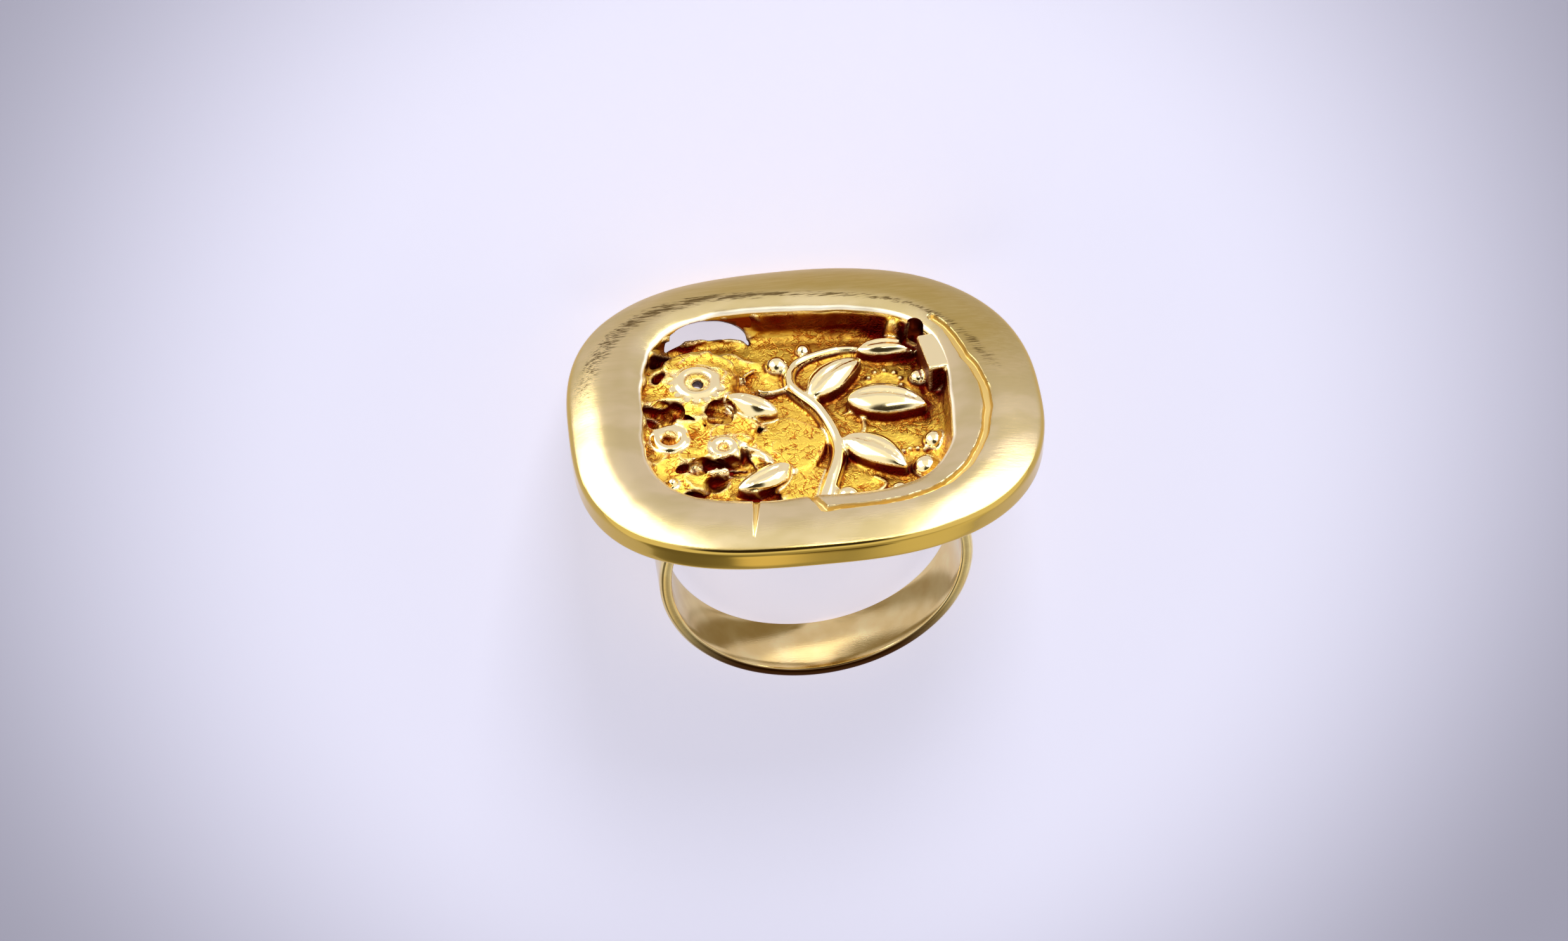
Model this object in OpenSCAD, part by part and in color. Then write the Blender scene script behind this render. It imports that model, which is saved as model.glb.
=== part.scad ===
// Gold ring with a large cast plate on a plain round shank, lying on its back edge.
// Everything is modelled upright first: X along the plate, Y back along the finger and Z up through
// the plate, from the centre of the finger hole. lay_down() then tips it onto the surface.

/* [Shank] */
// Inside diameter of the finger hole
finger_d = 17.4; // [16:0.1:17.6]
// Thickness of the band
band_t = 0.73; // [0.6:0.01:1]
// Width of the band along the finger
band_w = 3.87; // [3:0.01:6]
// Half-length of the saddle under the plate
saddle_l = 6.6; // [5:0.1:7.2]

/* [Plate outline] */
// Reach of the plate to the left of the shank's centre
plate_left = 14.08; // [13:0.01:16]
// Reach of the plate to the right
plate_right = 13.42; // [13:0.01:16]
// Reach of the plate to the back
plate_back = 11.55; // [11:0.01:13]
// Reach of the plate to the front
plate_front = 11.51; // [11:0.01:13]
// Squareness of the back left corner, where 2 is an ellipse
square_back_left = 2.8; // [2:0.05:4]
// Squareness of the back right corner
square_back_right = 2.45; // [2:0.05:4]
// Squareness of the front left corner
square_front_left = 2.85; // [2:0.05:4]
// Squareness of the front right corner
square_front_right = 2.45; // [2:0.05:4]
// Turn of the plate on the shank, in degrees
plate_turn = -1.3; // [-3:0.1:3]

/* [Plate section] */
// Height of the plate's underside over the centre of the finger hole
plate_z = 10.58; // [10.4:0.01:11]
// Height of the side wall up to the crest line
wall_h = 1.4; // [1:0.05:2]
// Rise of the domed rim over the crest line
dome_h = 0.54; // [0.3:0.01:0.8]
// Rounding of the side wall's two edges
wall_round = 0.22; // [0.1:0.01:0.4]
// Fall of the face towards the left end
camber = 0.33; // [0:0.01:0.6]

/* [Window and tray] */
// Half-length of the window in the plate
window_a = 8.9; // [8:0.1:9.2]
// Half-width of the window
window_b = 7.8; // [7:0.1:8.2]
// Squareness of the window's corners
window_square = 3.4; // [2:0.1:4]
// Turn of the window, in degrees
window_turn = -5.3; // [-8:0.1:8]
// Place of the window's centre along the plate
window_x = -0.8; // [-1:0.1:0]
// Place of the window's centre towards the back
window_y = 0.2; // [-0.2:0.1:0.4]
// Height of the tray's floor over the centre of the finger hole
floor_z = 9.94; // [9.9:0.01:10.2]
// Thickness of the tray's floor
floor_t = 0.75; // [0.6:0.01:0.9]

/* [Cuts] */
// Width of the rail groove
groove_w = 0.42; // [0.3:0.01:0.8]
// Depth of the rail groove
groove_d = 0.4; // [0.2:0.01:0.6]
// Added to the width of the rail that the groove parts from the rim
rail_more = 0; // [-0.2:0.05:0.3]
// Width of the short cut across the front of the rim
cut_w = 0.3; // [0.2:0.01:0.5]
// Depth of the short cut
cut_d = 0.35; // [0.2:0.01:0.6]

/* [Hidden] */

GOLD = "goldenrod";
PALE_GOLD = "palegoldenrod";

finger_r = finger_d / 2;
band_r = finger_r + band_t;
band_round = 0.2;
band_round_steps = 4;
saddle_low = 6;
saddle_flare = 0.4;
overlap = 0.3;

window_centre = [window_x, window_y];
edge_z = plate_z + wall_h + 0.06;
tray_z = floor_z - floor_t;
rim_steps = 68;
hook_w = 0.5;

// Section of the rim: up the side wall, over the dome, down the window's wall and back below.
// Columns: share of the way from the plate's outline to the window's, height over the underside
RIM_SECTION = [
    [0.03, 0],
    [0, wall_round],
    [0, wall_h - wall_round],
    [0.03, wall_h],
    [0.12, wall_h + 0.42 * dome_h],
    [0.3, wall_h + 0.82 * dome_h],
    [0.52, wall_h + dome_h],
    [0.74, wall_h + 0.9 * dome_h],
    [0.9, wall_h + 0.55 * dome_h],
    [1, edge_z - plate_z],
    [1, tray_z - plate_z],
    [0.8, tray_z - plate_z],
    [0.72, 0],
];

// Raised shelf on the left of the floor, a row for each round lobe.
// Columns: x, y, radius, height over the floor
TERRACE = [
    [-8.3, 2.4, 3.1, 1.2],
    [-6.1, 4.1, 2.3, 1.3],
    [-8.5, -2.2, 2.9, 1],
    [-5.6, 0.4, 2.5, 0.9],
    [-1.6, -1.4, 2.3, 0.45],
    [-0.9, -4.9, 1.9, 0.35],
];

// Domed leaves, a row for each.
// Columns: x, y, turn in degrees, length, width, height over the floor
LEAVES = [
    [1.9, 3.3, 38, 4.3, 1.9, 1.35],
    [4.6, 0.8, -14, 4.7, 2.3, 1.45],
    [3.3, -3.1, -42, 4.4, 2, 1.3],
    [-3.3, -4.1, 206, 3.6, 1.6, 1.25],
    [-3.3, 1.6, 148, 3.4, 1.5, 1.75],
    [5.3, 5.3, -8, 3.6, 1.3, 1.2],
];
leaf_skirt = 0.62;
leaf_vein = 0.13;
leaf_steps = 9;
LEAF_ACROSS = [-1, -0.66, -0.3, 0, 0.3, 0.66, 1];

// Round berries, a row for each.
// Columns: x, y, radius, height over the floor
BERRIES = [
    [6.9, -2.2, 0.72, 0.8],
    [6.1, -4.3, 0.88, 0.95],
    [4.3, -5.9, 0.62, 0.7],
    [1.3, -6, 0.78, 0.85],
    [6.8, 3.1, 0.6, 0.7],
    [-1.3, 5.3, 0.72, 0.8],
    [0.4, 6.4, 0.5, 0.6],
    [-5.4, -6.1, 0.64, 0.75],
    [-8.6, -4.2, 0.55, 1.4],
    [5.8, 6.5, 0.6, 1.9],
];

// Cups with a round lip, a row for each.
// Columns: x, y, radius to the middle of the lip, radius of the hollow, height over the floor
CUPS = [
    [-6.2, 3.6, 1.05, 0.72, 1.45],
    [-8.3, -0.6, 0.8, 0.5, 1.25],
    [-5.3, -1.6, 0.62, 0.36, 1.1],
];

// Stem between the leaves, a row for each bend.
// Columns: x, y, half-width, height over the floor
STEM = [
    [-0.6, -7.6, 0.6, 0.5],
    [0.3, -5.2, 0.55, 0.7],
    [1.3, -2.2, 0.5, 0.8],
    [0.7, 0.9, 0.48, 0.85],
    [-0.7, 3.3, 0.42, 0.75],
    [-0.2, 5.2, 0.36, 0.6],
    [2.2, 6.1, 0.3, 0.5],
    [4, 6, 0.2, 0.35],
];
stem_steps = 3;
STEM_ACROSS = [[-1, 0.35], [-0.6, 0.85], [0, 1], [0.6, 0.85], [1, 0.35]];

// The large opening, its crescent taken level with the window's edge. It runs out under the rim.
opening_c = [-5.15, 5.2];
opening_half = 2.6;
opening_rise = 2.25;
opening_belly = 1.05;
opening_end = 0.4;
opening_slope = 1;
hole_slope = 0.75;
small_hole = [-8.15, -5.2];
small_hole_r = 0.42;
cup_hole_r = 0.4;
pit = [-5.2, 1.2];
pit_r = 0.95;
pit_floor = 0.25;

// Middle of the rail groove, a row for each bend: angle, distance out from the window
RAIL = [
    [-90, 1.3],
    [-60, 1.45],
    [-38, 1.35],
    [-24, 1.55],
    [-8, 2.05],
    [4, 1.95],
    [17, 1.2],
    [40, 1.05],
];
groove_from = -86;
groove_to = 38;
groove_step = 4;
cut_middle = [-4.45, -8.9];
cut_turn = -11;
cut_reach = 3.3;

// Square end of the rail, and the round notch in the window's corner beside it
lug_middle = [7.85, 3.4];
lug_size = [1.5, 2.9];
lug_turn = 6;
notch = [7, 5.75];
notch_r = 0.65;
notch_floor = 0.3;

// Polar radius of a superellipse with half-axes a and b
function rounded_radius(a, b, square, angle) =
    pow(pow(abs(cos(angle)) / a, square) + pow(abs(sin(angle)) / b, square), -1 / square);

function corner_square(angle) =
    sin(angle) > 0
        ? (cos(angle) > 0 ? square_back_right : square_back_left)
        : (cos(angle) > 0 ? square_front_right : square_front_left);

function plate_point(angle) =
    rounded_radius(
        cos(angle) > 0 ? plate_right : plate_left,
        sin(angle) > 0 ? plate_back : plate_front,
        corner_square(angle),
        angle
    ) * [cos(angle + plate_turn), sin(angle + plate_turn)];

function window_point(angle, grow = 0) =
    window_centre
    + (rounded_radius(window_a, window_b, window_square, angle) + grow)
        * [cos(angle + window_turn), sin(angle + window_turn)];

// Distance from the window to the middle of the rail groove
function rail_width(angle) = lookup(angle, RAIL) + rail_more;

function camber_drop(x) = camber * pow(x / plate_left, 2);

// A point of the rim: share runs from the outline to the window
function rim_point(angle, row) =
    let (p = (1 - row[0]) * plate_point(angle) + row[0] * window_point(angle))
        [p.x, p.y, plate_z + row[1] - (row[1] > 0 ? camber_drop(p.x) : 0)];

// Even cubic through four rows of a table, at share t between the middle two
function between(rows, i, t) =
    let (
        last = len(rows) - 1,
        a = rows[max(i - 1, 0)],
        b = rows[i],
        c = rows[min(i + 1, last)],
        d = rows[min(i + 2, last)]
    )
        0.5 * (2 * b + (c - a) * t + (2 * a - 5 * b + 4 * c - d) * t * t
            + (3 * b - a - 3 * c + d) * t * t * t);

// How far a point reaches towards the surface when the ring is tipped back by an angle
function reach(p, tip) = p.y * cos(tip) - p.z * sin(tip);

function furthest(points, tip) =
    let (reaches = [for (p = points) reach(p, tip)])
        points[search(max(reaches), reaches)[0]];

RIM_POINTS = [
    for (i = [0 : rim_steps - 1])
        for (row = RIM_SECTION)
            rim_point(360 * i / rim_steps, row)
];

// Outline of the band's section, from the finger hole outwards, with softened edges
BAND_SECTION = concat(
    [[finger_r, -band_w / 2 + band_round / 2], [finger_r, band_w / 2 - band_round / 2]],
    [[finger_r + band_round / 2, band_w / 2]],
    [
        for (side = [1, -1])
            for (i = [0 : band_round_steps])
                let (turn = 90 * (side > 0 ? 1 - i / band_round_steps : i / band_round_steps))
                    [
                        band_r - band_round + band_round * cos(turn),
                        side * (band_w / 2 - band_round + band_round * sin(turn)),
                    ],
    ],
    [[finger_r + band_round / 2, -band_w / 2]]
);
BAND_LOWEST = [for (p = BAND_SECTION) [0, p.y, -p.x]];

// The ring rests on the plate's back edge and the band's, which give the angle that it lies at
first_tip = 25.6;
plate_foot = furthest(RIM_POINTS, first_tip);
band_foot = furthest(BAND_LOWEST, first_tip);
rest_tip = atan((plate_foot.y - band_foot.y) / (plate_foot.z - band_foot.z));

// Where a point of the upright ring comes to lie, before the origin is put under the middle
function laid(p) = [
    -p.x,
    -p.y * sin(rest_tip) - p.z * cos(rest_tip),
    -reach(p, rest_tip)
];

BAND_OUTLINE = [
    for (i = [0 : 89])
        for (y = [-band_w / 2, band_w / 2])
            [(band_r - band_round) * cos(4 * i), y, (band_r - band_round) * sin(4 * i)]
];
LAID = [for (p = concat(RIM_POINTS, BAND_LOWEST, BAND_OUTLINE)) laid(p)];

function middle(values) = (max(values) + min(values)) / 2;
origin = [
    middle([for (p = LAID) p.x]),
    middle([for (p = LAID) p.y]),
    min([for (p = LAID) p.z])
];

// Tips the upright ring back onto the surface and puts the origin under its middle
module lay_down() {
    translate(-origin)
        rotate([rest_tip - 90, 0, 180])
            children();
}

// Solid under a grid of points, down to a flat base
module grid_solid(rows, base) {
    n = len(rows);
    m = len(rows[0]);
    top = [for (row = rows) each row];
    low = [for (p = top) [p.x, p.y, base]];
    under = n * m;
    edge = concat(
        [for (j = [0 : m - 1]) j],
        [for (i = [1 : n - 1]) i * m + m - 1],
        [for (j = [m - 2 : -1 : 0]) (n - 1) * m + j],
        [for (i = [n - 2 : -1 : 1]) i * m]
    );
    faces = concat(
        [
            for (i = [0 : n - 2])
                for (j = [0 : m - 2])
                    let (k = i * m + j)
                        each [[k, k + 1, k + m + 1], [k, k + m + 1, k + m]]
        ],
        [
            for (i = [0 : n - 2])
                for (j = [0 : m - 2])
                    let (k = under + i * m + j)
                        each [[k, k + m + 1, k + 1], [k, k + m, k + m + 1]]
        ],
        [
            for (i = [0 : len(edge) - 1])
                let (a = edge[i], b = edge[(i + 1) % len(edge)])
                    each [[a, a + under, b + under], [a, b + under, b]]
        ]
    );
    polyhedron(concat(top, low), faces);
}

module window_prism(grow, low, high) {
    translate([0, 0, low])
        linear_extrude(high - low)
            polygon([
                for (i = [0 : rim_steps - 1])
                    window_point(360 * i / rim_steps, grow)
            ]);
}

// Domed border of the plate, a closed ring of sections
module plate_rim() {
    m = len(RIM_SECTION);
    color(PALE_GOLD)
        polyhedron(RIM_POINTS, [
            for (i = [0 : rim_steps - 1])
                for (j = [0 : m - 1])
                    let (
                        a = i * m + j,
                        b = i * m + (j + 1) % m,
                        c = ((i + 1) % rim_steps) * m + (j + 1) % m,
                        d = ((i + 1) % rim_steps) * m + j
                    )
                        each [[a, b, c], [a, c, d]]
        ]);
}

// Sunk floor of the window
module tray() {
    color(GOLD)
        window_prism(overlap, tray_z, floor_z);
}

module terrace() {
    color(GOLD)
        intersection() {
            for (row = TERRACE)
                translate([row[0], row[1], floor_z - overlap])
                    cylinder(r = row[2], h = overlap + row[3], $fn = 28);
            window_prism(overlap, tray_z, edge_z);
        }
}

// One leaf: a lens-shaped dome on a short skirt, with a vein along its middle
module leaf(length, width, height) {
    grid_solid(
        [
            for (i = [0 : leaf_steps])
                let (a = 2 * i / leaf_steps - 1, half = width / 2 * (0.06 + pow(1 - a * a, 0.8)))
                    [
                        for (b = LEAF_ACROSS)
                            [
                                a * length / 2,
                                b * half,
                                height * (leaf_skirt + (1 - leaf_skirt) * (1 - a * a) * (1 - b * b))
                                    - (b == 0 ? leaf_vein * (1 - a * a) : 0)
                            ]
                    ]
        ],
        -overlap
    );
}

module stem() {
    bends = len(STEM) - 1;
    centre = [
        for (i = [0 : bends - 1])
            for (k = [0 : stem_steps - 1])
                between(STEM, i, k / stem_steps),
        STEM[bends],
    ];
    last = len(centre) - 1;
    grid_solid(
        [
            for (i = [0 : last])
                let (
                    ahead = centre[min(i + 1, last)] - centre[max(i - 1, 0)],
                    side = [-ahead.y, ahead.x] / norm([ahead.x, ahead.y]),
                    c = centre[i]
                )
                    [
                        for (across = STEM_ACROSS)
                            [
                                c.x + across[0] * c[2] * side.x,
                                c.y + across[0] * c[2] * side.y,
                                floor_z + c[3] * across[1]
                            ]
                    ]
        ],
        floor_z - overlap
    );
}

module berry(r, height) {
    scale([1, 1, height / r])
        sphere(r = r, $fn = 16);
}

module cup(lip_r, hollow_r, height) {
    lip = lip_r - hollow_r;
    rotate_extrude($fn = 24)
        polygon([
            [hollow_r, -overlap],
            [hollow_r, height - 0.5 * lip],
            [hollow_r + 0.4 * lip, height],
            [lip_r + 0.6 * lip, height],
            [lip_r + lip, height - 0.5 * lip],
            [lip_r + lip, -overlap],
        ]);
}

// Everything that stands up from the floor
module relief() {
    color(PALE_GOLD)
        intersection() {
            union() {
                stem();
                for (row = LEAVES)
                    translate([row[0], row[1], floor_z])
                        rotate([0, 0, row[2]])
                            leaf(row[3], row[4], row[5]);
                for (row = BERRIES)
                    translate([row[0], row[1], floor_z])
                        berry(row[2], row[3]);
                for (row = CUPS)
                    translate([row[0], row[1], floor_z])
                        cup(row[2], row[3], row[4]);
            }
            window_prism(overlap, tray_z, edge_z);
        }
}

// Narrow groove that leaves a rail standing along the window, open to the window at its front end
module rail_groove() {
    turns = [groove_from : groove_step : groove_to];
    last = floor((groove_to - groove_from) / groove_step);
    outer = rail_width(groove_from) + groove_w / 2;
    translate([0, 0, edge_z + 0.3 * dome_h - groove_d])
        linear_extrude(2)
            polygon(concat(
                [for (a = turns) window_point(a, rail_width(a) + groove_w / 2)],
                [
                    for (i = [last : -1 : 0])
                        let (a = groove_from + i * groove_step)
                            window_point(a, rail_width(a) - groove_w / 2)
                ],
                [
                    window_point(groove_from, -hook_w),
                    window_point(groove_from - groove_step / 2, -hook_w),
                    window_point(groove_from - groove_step / 2, outer),
                ]
            ));
}

module tool_cut() {
    translate([cut_middle.x, cut_middle.y, edge_z + 1])
        rotate([0, 0, cut_turn])
            cube([cut_w, cut_reach, 2 * (1 + cut_d)], center = true);
}

// Leans what is below a level back, and what is above it forward
module leaning(slope, level) {
    multmatrix([
        [1, 0, 0, 0],
        [0, 1, -slope, slope * level],
        [0, 0, 1, 0],
    ])
        children();
}

// The large opening leans out under the rim, so the surface behind shows through it
module large_opening() {
    steps = 16;
    low = floor_z - 2;
    leaning(opening_slope, edge_z)
        translate([opening_c.x, opening_c.y, low])
            linear_extrude(edge_z + 0.4 - low)
                polygon(concat(
                    [
                        for (i = [0 : steps])
                            let (a = 180 * i / steps)
                                [
                                    opening_half * cos(a),
                                    opening_end + opening_rise * sin(a)
                                ]
                    ],
                    [
                        for (i = [steps : -1 : 0])
                            let (a = 180 * i / steps)
                                [opening_half * cos(a), opening_belly * sin(a)]
                    ]
                ));
}

module leaning_hole(at, level, r) {
    leaning(hole_slope, level)
        translate([at.x, at.y, tray_z - 1])
            cylinder(r = r, h = 6, $fn = 20);
}

module small_openings() {
    leaning_hole(small_hole, floor_z, small_hole_r);
    leaning_hole(CUPS[0], floor_z + 1, cup_hole_r);
    translate([pit.x, pit.y, floor_z + pit_floor])
        cylinder(r = pit_r, h = 6, $fn = 24);
    translate([notch.x, notch.y, floor_z + notch_floor])
        cylinder(r = notch_r, h = 6, $fn = 24);
}

// Square end of the rail, which reaches into the window
module lug() {
    color(PALE_GOLD)
        translate([lug_middle.x, lug_middle.y, (tray_z + edge_z) / 2])
            rotate([0, 0, lug_turn])
                cube([lug_size.x, lug_size.y, edge_z - tray_z - 0.04], center = true);
}

// The whole casting, brought to the plate's exact length and width
module plate() {
    resize([plate_left + plate_right, plate_back + plate_front, 0])
        difference() {
            union() {
                plate_rim();
                tray();
                terrace();
                relief();
                lug();
            }
            rail_groove();
            tool_cut();
            large_opening();
            small_openings();
        }
}

// Plain round band
module shank() {
    color(PALE_GOLD)
        rotate([90, 0, 0])
            rotate_extrude($fn = 180)
                polygon(BAND_SECTION);
}

// Filling between the top of the band and the plate
module saddle() {
    color(PALE_GOLD)
        difference() {
            rotate([90, 0, 0])
                linear_extrude(band_w - 2 * band_round, center = true)
                    polygon([
                        [saddle_l - saddle_flare, saddle_low],
                        [saddle_l, tray_z + overlap],
                        [-saddle_l, tray_z + overlap],
                        [-saddle_l + saddle_flare, saddle_low],
                    ]);
            rotate([90, 0, 0])
                cylinder(r = finger_r, h = 2 * band_w, center = true, $fn = 180);
        }
}

module ring() {
    lay_down() {
        plate();
        shank();
        saddle();
    }
}

ring();
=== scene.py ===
"""Cast gold ring with a wide plate, dressed for the photograph: pieces, finishes, floor, lights and camera.

Pieces are made upright in millimetres, X along the plate, Y back along the finger and Z up through the
plate from the middle of the finger hole. Each is then laid down on the floor, in metres.
"""

import math

import bmesh
import bpy
import numpy as np
from mathutils import Matrix, Vector, noise
from mathutils.bvhtree import BVHTree


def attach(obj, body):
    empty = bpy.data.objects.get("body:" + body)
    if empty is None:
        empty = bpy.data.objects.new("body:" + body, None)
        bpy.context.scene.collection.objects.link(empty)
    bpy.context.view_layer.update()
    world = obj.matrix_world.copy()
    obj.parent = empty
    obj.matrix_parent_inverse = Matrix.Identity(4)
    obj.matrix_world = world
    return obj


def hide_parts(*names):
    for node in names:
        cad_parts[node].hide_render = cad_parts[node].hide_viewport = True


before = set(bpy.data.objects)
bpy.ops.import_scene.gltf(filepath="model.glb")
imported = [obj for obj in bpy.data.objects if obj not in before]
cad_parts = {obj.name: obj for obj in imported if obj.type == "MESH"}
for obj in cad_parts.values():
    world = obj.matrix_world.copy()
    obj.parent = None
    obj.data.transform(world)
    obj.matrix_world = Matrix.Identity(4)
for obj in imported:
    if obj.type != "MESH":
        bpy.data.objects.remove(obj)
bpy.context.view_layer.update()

# The rim: the wide domed border of the plate, cast in one with the rest and brushed by hand along the
# plate. A groove leaves a rail standing along the window at the right and the front, and a short cut
# crosses the front. Its side wall is tinted a darker, deeper yellow as painted shade, and the window's
# edge is rubbed bright and carries a painted highlight.

REST_TIP = math.radians(25.6556)
REST_ORIGIN = Vector((0.337251, -3.27897, -5.75988))
TIP_SIN, TIP_COS = math.sin(REST_TIP), math.cos(REST_TIP)
TIPPED = Matrix(((-1, 0, 0), (0, -TIP_SIN, -TIP_COS), (0, -TIP_COS, TIP_SIN)))
LAY_DOWN = Matrix.Scale(0.001, 4) @ Matrix.Translation(-REST_ORIGIN) @ TIPPED.to_4x4()

PLATE_REACH = {"left": 14.08, "right": 13.42, "back": 11.55, "front": 11.51}
PLATE_SQUARE = {"back_left": 2.8, "back_right": 2.45, "front_left": 2.85, "front_right": 2.45}
PLATE_TURN = math.radians(-1.3)
PLATE_UNDERSIDE = 10.58
WALL_HEIGHT = 1.4
DOME_HEIGHT = 0.54
DOME_TOP = 0.52
DOME_FALL = 2.8
CAMBER = 0.33
WINDOW_CENTRE = (-0.8, 0.2)
WINDOW_HALF = (8.9, 7.8)
WINDOW_SQUARE = 3.4
WINDOW_TURN = math.radians(-5.3)
WINDOW_EDGE = 1.46
WINDOW_LEVEL = PLATE_UNDERSIDE + WINDOW_EDGE
TRAY_UNDERSIDE = 9.19
TRAY_START = 0.72
FLOOR_LEVEL = 9.94


def rounded_radius(half_x, half_y, square, angle):
    """Polar radius of a rounded rectangle."""
    across = (np.abs(np.cos(angle)) / half_x) ** square
    along = (np.abs(np.sin(angle)) / half_y) ** square
    return (across + along) ** (-1 / square)


def outline_points(angle):
    """Points of the plate's outline, in which each quarter has its own reach and squareness."""
    right, back = np.cos(angle) > 0, np.sin(angle) > 0
    reach, square = PLATE_REACH, PLATE_SQUARE
    corner = np.where(
        back,
        np.where(right, square["back_right"], square["back_left"]),
        np.where(right, square["front_right"], square["front_left"]),
    )
    half_x = np.where(right, reach["right"], reach["left"])
    half_y = np.where(back, reach["back"], reach["front"])
    radius = rounded_radius(half_x, half_y, corner, angle)
    turned = angle + PLATE_TURN
    return np.stack([radius * np.cos(turned), radius * np.sin(turned)], -1)


def window_points(angle):
    """Points of the window's edge, a rounded rectangle turned a little in the plate."""
    radius = rounded_radius(*WINDOW_HALF, WINDOW_SQUARE, angle)
    turned = angle + WINDOW_TURN
    across = WINDOW_CENTRE[0] + radius * np.cos(turned)
    return np.stack([across, WINDOW_CENTRE[1] + radius * np.sin(turned)], -1)


def ripple(x, y, size, seed):
    """Soft unevenness of hand work, about -1 to 1, with bumps of one size."""
    flat = np.stack([np.ravel(x), np.ravel(y)], -1) / size
    values = [noise.noise(Vector((a, b, seed))) for a, b in flat]
    return np.array(values).reshape(np.shape(x))


def smooth_step(low, high, value):
    """0 at low, 1 at high and a soft step between them."""
    share = np.clip((value - low) / (high - low), 0, 1)
    return share * share * (3 - 2 * share)


def dome(share):
    """Height of the rim's face over the underside, from the outline at 0 to the window at 1."""
    outer = ((DOME_TOP - share) / DOME_TOP) ** 2
    inner_fall = 1 - (WINDOW_EDGE - WALL_HEIGHT) / DOME_HEIGHT
    inner = np.abs((share - DOME_TOP) / (1 - DOME_TOP)) ** DOME_FALL * inner_fall
    return WALL_HEIGHT + DOME_HEIGHT * (1 - np.where(share < DOME_TOP, outer, inner))


def bend(start, corner, end, steps):
    """Rows along a soft corner between two points of the section, each a reach and a height."""
    rows = []
    for t in np.linspace(0, 1, steps):
        near, middle, far = (1 - t) ** 2, 2 * t * (1 - t), t * t
        rows.append([near * a + middle * b + far * c for a, b, c in zip(start, corner, end)])
    return rows


def mesh_of(name, bm):
    """Ends the drawing of a shape."""
    mesh = bpy.data.meshes.new(name)
    bm.to_mesh(mesh)
    bm.free()
    return mesh


def write_mark(mesh, name, values):
    """Writes a number at each point, which the finish reads."""
    layer = mesh.attributes.new(name, "FLOAT", "POINT")
    layer.data.foreach_set("value", values.astype(np.float32))


def draw_grid(name, placed, marks=()):
    """A grid of faces with each corner moved to its place, closed where the grid meets itself."""
    rows, columns = placed.shape[0] - 1, placed.shape[1] - 1
    bm = bmesh.new()
    bmesh.ops.create_grid(bm, x_segments=columns, y_segments=rows, size=0.5)
    mesh = mesh_of(name, bm)
    flat = np.zeros(len(mesh.vertices) * 3, np.float32)
    mesh.vertices.foreach_get("co", flat)
    shares = flat.reshape(-1, 3)[:, :2] + 0.5
    column = np.rint(shares[:, 0] * columns).astype(int)
    row = np.rint(shares[:, 1] * rows).astype(int)
    mesh.vertices.foreach_set("co", placed[row, column].astype(np.float32).ravel())
    for mark, values in marks:
        write_mark(mesh, mark, values[row, column])
    bm = bmesh.new()
    bm.from_mesh(mesh)
    bmesh.ops.remove_doubles(bm, verts=bm.verts, dist=1e-4)
    bmesh.ops.recalc_face_normals(bm, faces=bm.faces)
    bm.to_mesh(mesh)
    bm.free()
    return mesh


def new_object(name, data):
    """Puts a mesh, a light or a camera into the scene."""
    made = bpy.data.objects.new(name, data)
    bpy.context.scene.collection.objects.link(made)
    return made


def drawn(name, bm):
    """Ends the drawing of a shape and gives it as a piece."""
    return new_object(name, mesh_of(name, bm))


def with_modifier(piece, kind, **settings):
    """Runs one modifier on a piece and keeps its result as the piece's mesh."""
    modifier = piece.modifiers.new("step", kind)
    for key, value in settings.items():
        setattr(modifier, key, value)
    done = piece.evaluated_get(bpy.context.evaluated_depsgraph_get())
    mesh = bpy.data.meshes.new_from_object(done)
    piece.modifiers.clear()
    piece.data = mesh


def cut_out(piece, tool):
    """Takes the tool's solid out of the piece."""
    with_modifier(piece, "BOOLEAN", operation="DIFFERENCE", object=tool, solver="MANIFOLD")


# How far round the rim the columns stand: even steps, closer together at the short cut
RIM_COLUMNS = 960
CUT_ANGLE = math.radians(-108.7)
CUT_REACH = 3.2
CUT_HALF = 0.2
CUT_DEPTH = 0.2
CUT_LEAN = 0.13
CUT_CROWDING = 1.6
CROWDED_ANGLE = 0.05
FINE_STEPS = 4001
around = np.linspace(-math.pi, math.pi, FINE_STEPS)
middle = (outline_points(around) + window_points(around)) / 2
step = np.linalg.norm(np.diff(middle, axis=0), axis=1)
closeness = 1 + CUT_CROWDING * np.exp(-(((around[1:] - CUT_ANGLE) / CROWDED_ANGLE) ** 2))
travelled = np.concatenate([[0], np.cumsum(step * closeness)])
rim_angle = np.interp(np.linspace(0, travelled[-1], RIM_COLUMNS + 1), travelled, around)
rim_angle[-1] = math.pi


def by_angle(stops):
    """A size that changes round the rim, from a few angles in degrees and its value at each."""
    degrees, values = zip(*stops)
    return np.interp(np.degrees(rim_angle), degrees, values)


# The window's edge is uneven, most of all at the left, where it has shallow notches, each an angle, a
# depth and a spread in degrees. At the front it stands further in, by an angle and a distance.
EDGE_LOOP = 9
EDGE_WAVE = 0.05
EDGE_CHIPS = 0.03
LEFT_WAVE = 1.4
FRONT_EDGE = [(-180, 0), (-100, 0.05), (-85, 0.35), (-60, 0.45), (-40, 0.3), (-20, 0), (180, 0)]
NICKS = [(-166, 0.1, 4.5), (174, 0.07, 3.5), (161, 0.05, 2.5), (-140, 0.06, 3.0)]
rim_outline = outline_points(rim_angle)
rim_window = window_points(rim_angle)
left_side = smooth_step(0.1, 0.9, -np.cos(rim_angle))
loop_x, loop_y = EDGE_LOOP * np.cos(rim_angle), EDGE_LOOP * np.sin(rim_angle)
wobble = EDGE_WAVE * ripple(loop_x, loop_y, 1.3, 2.0) * (1 + LEFT_WAVE * left_side)
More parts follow.
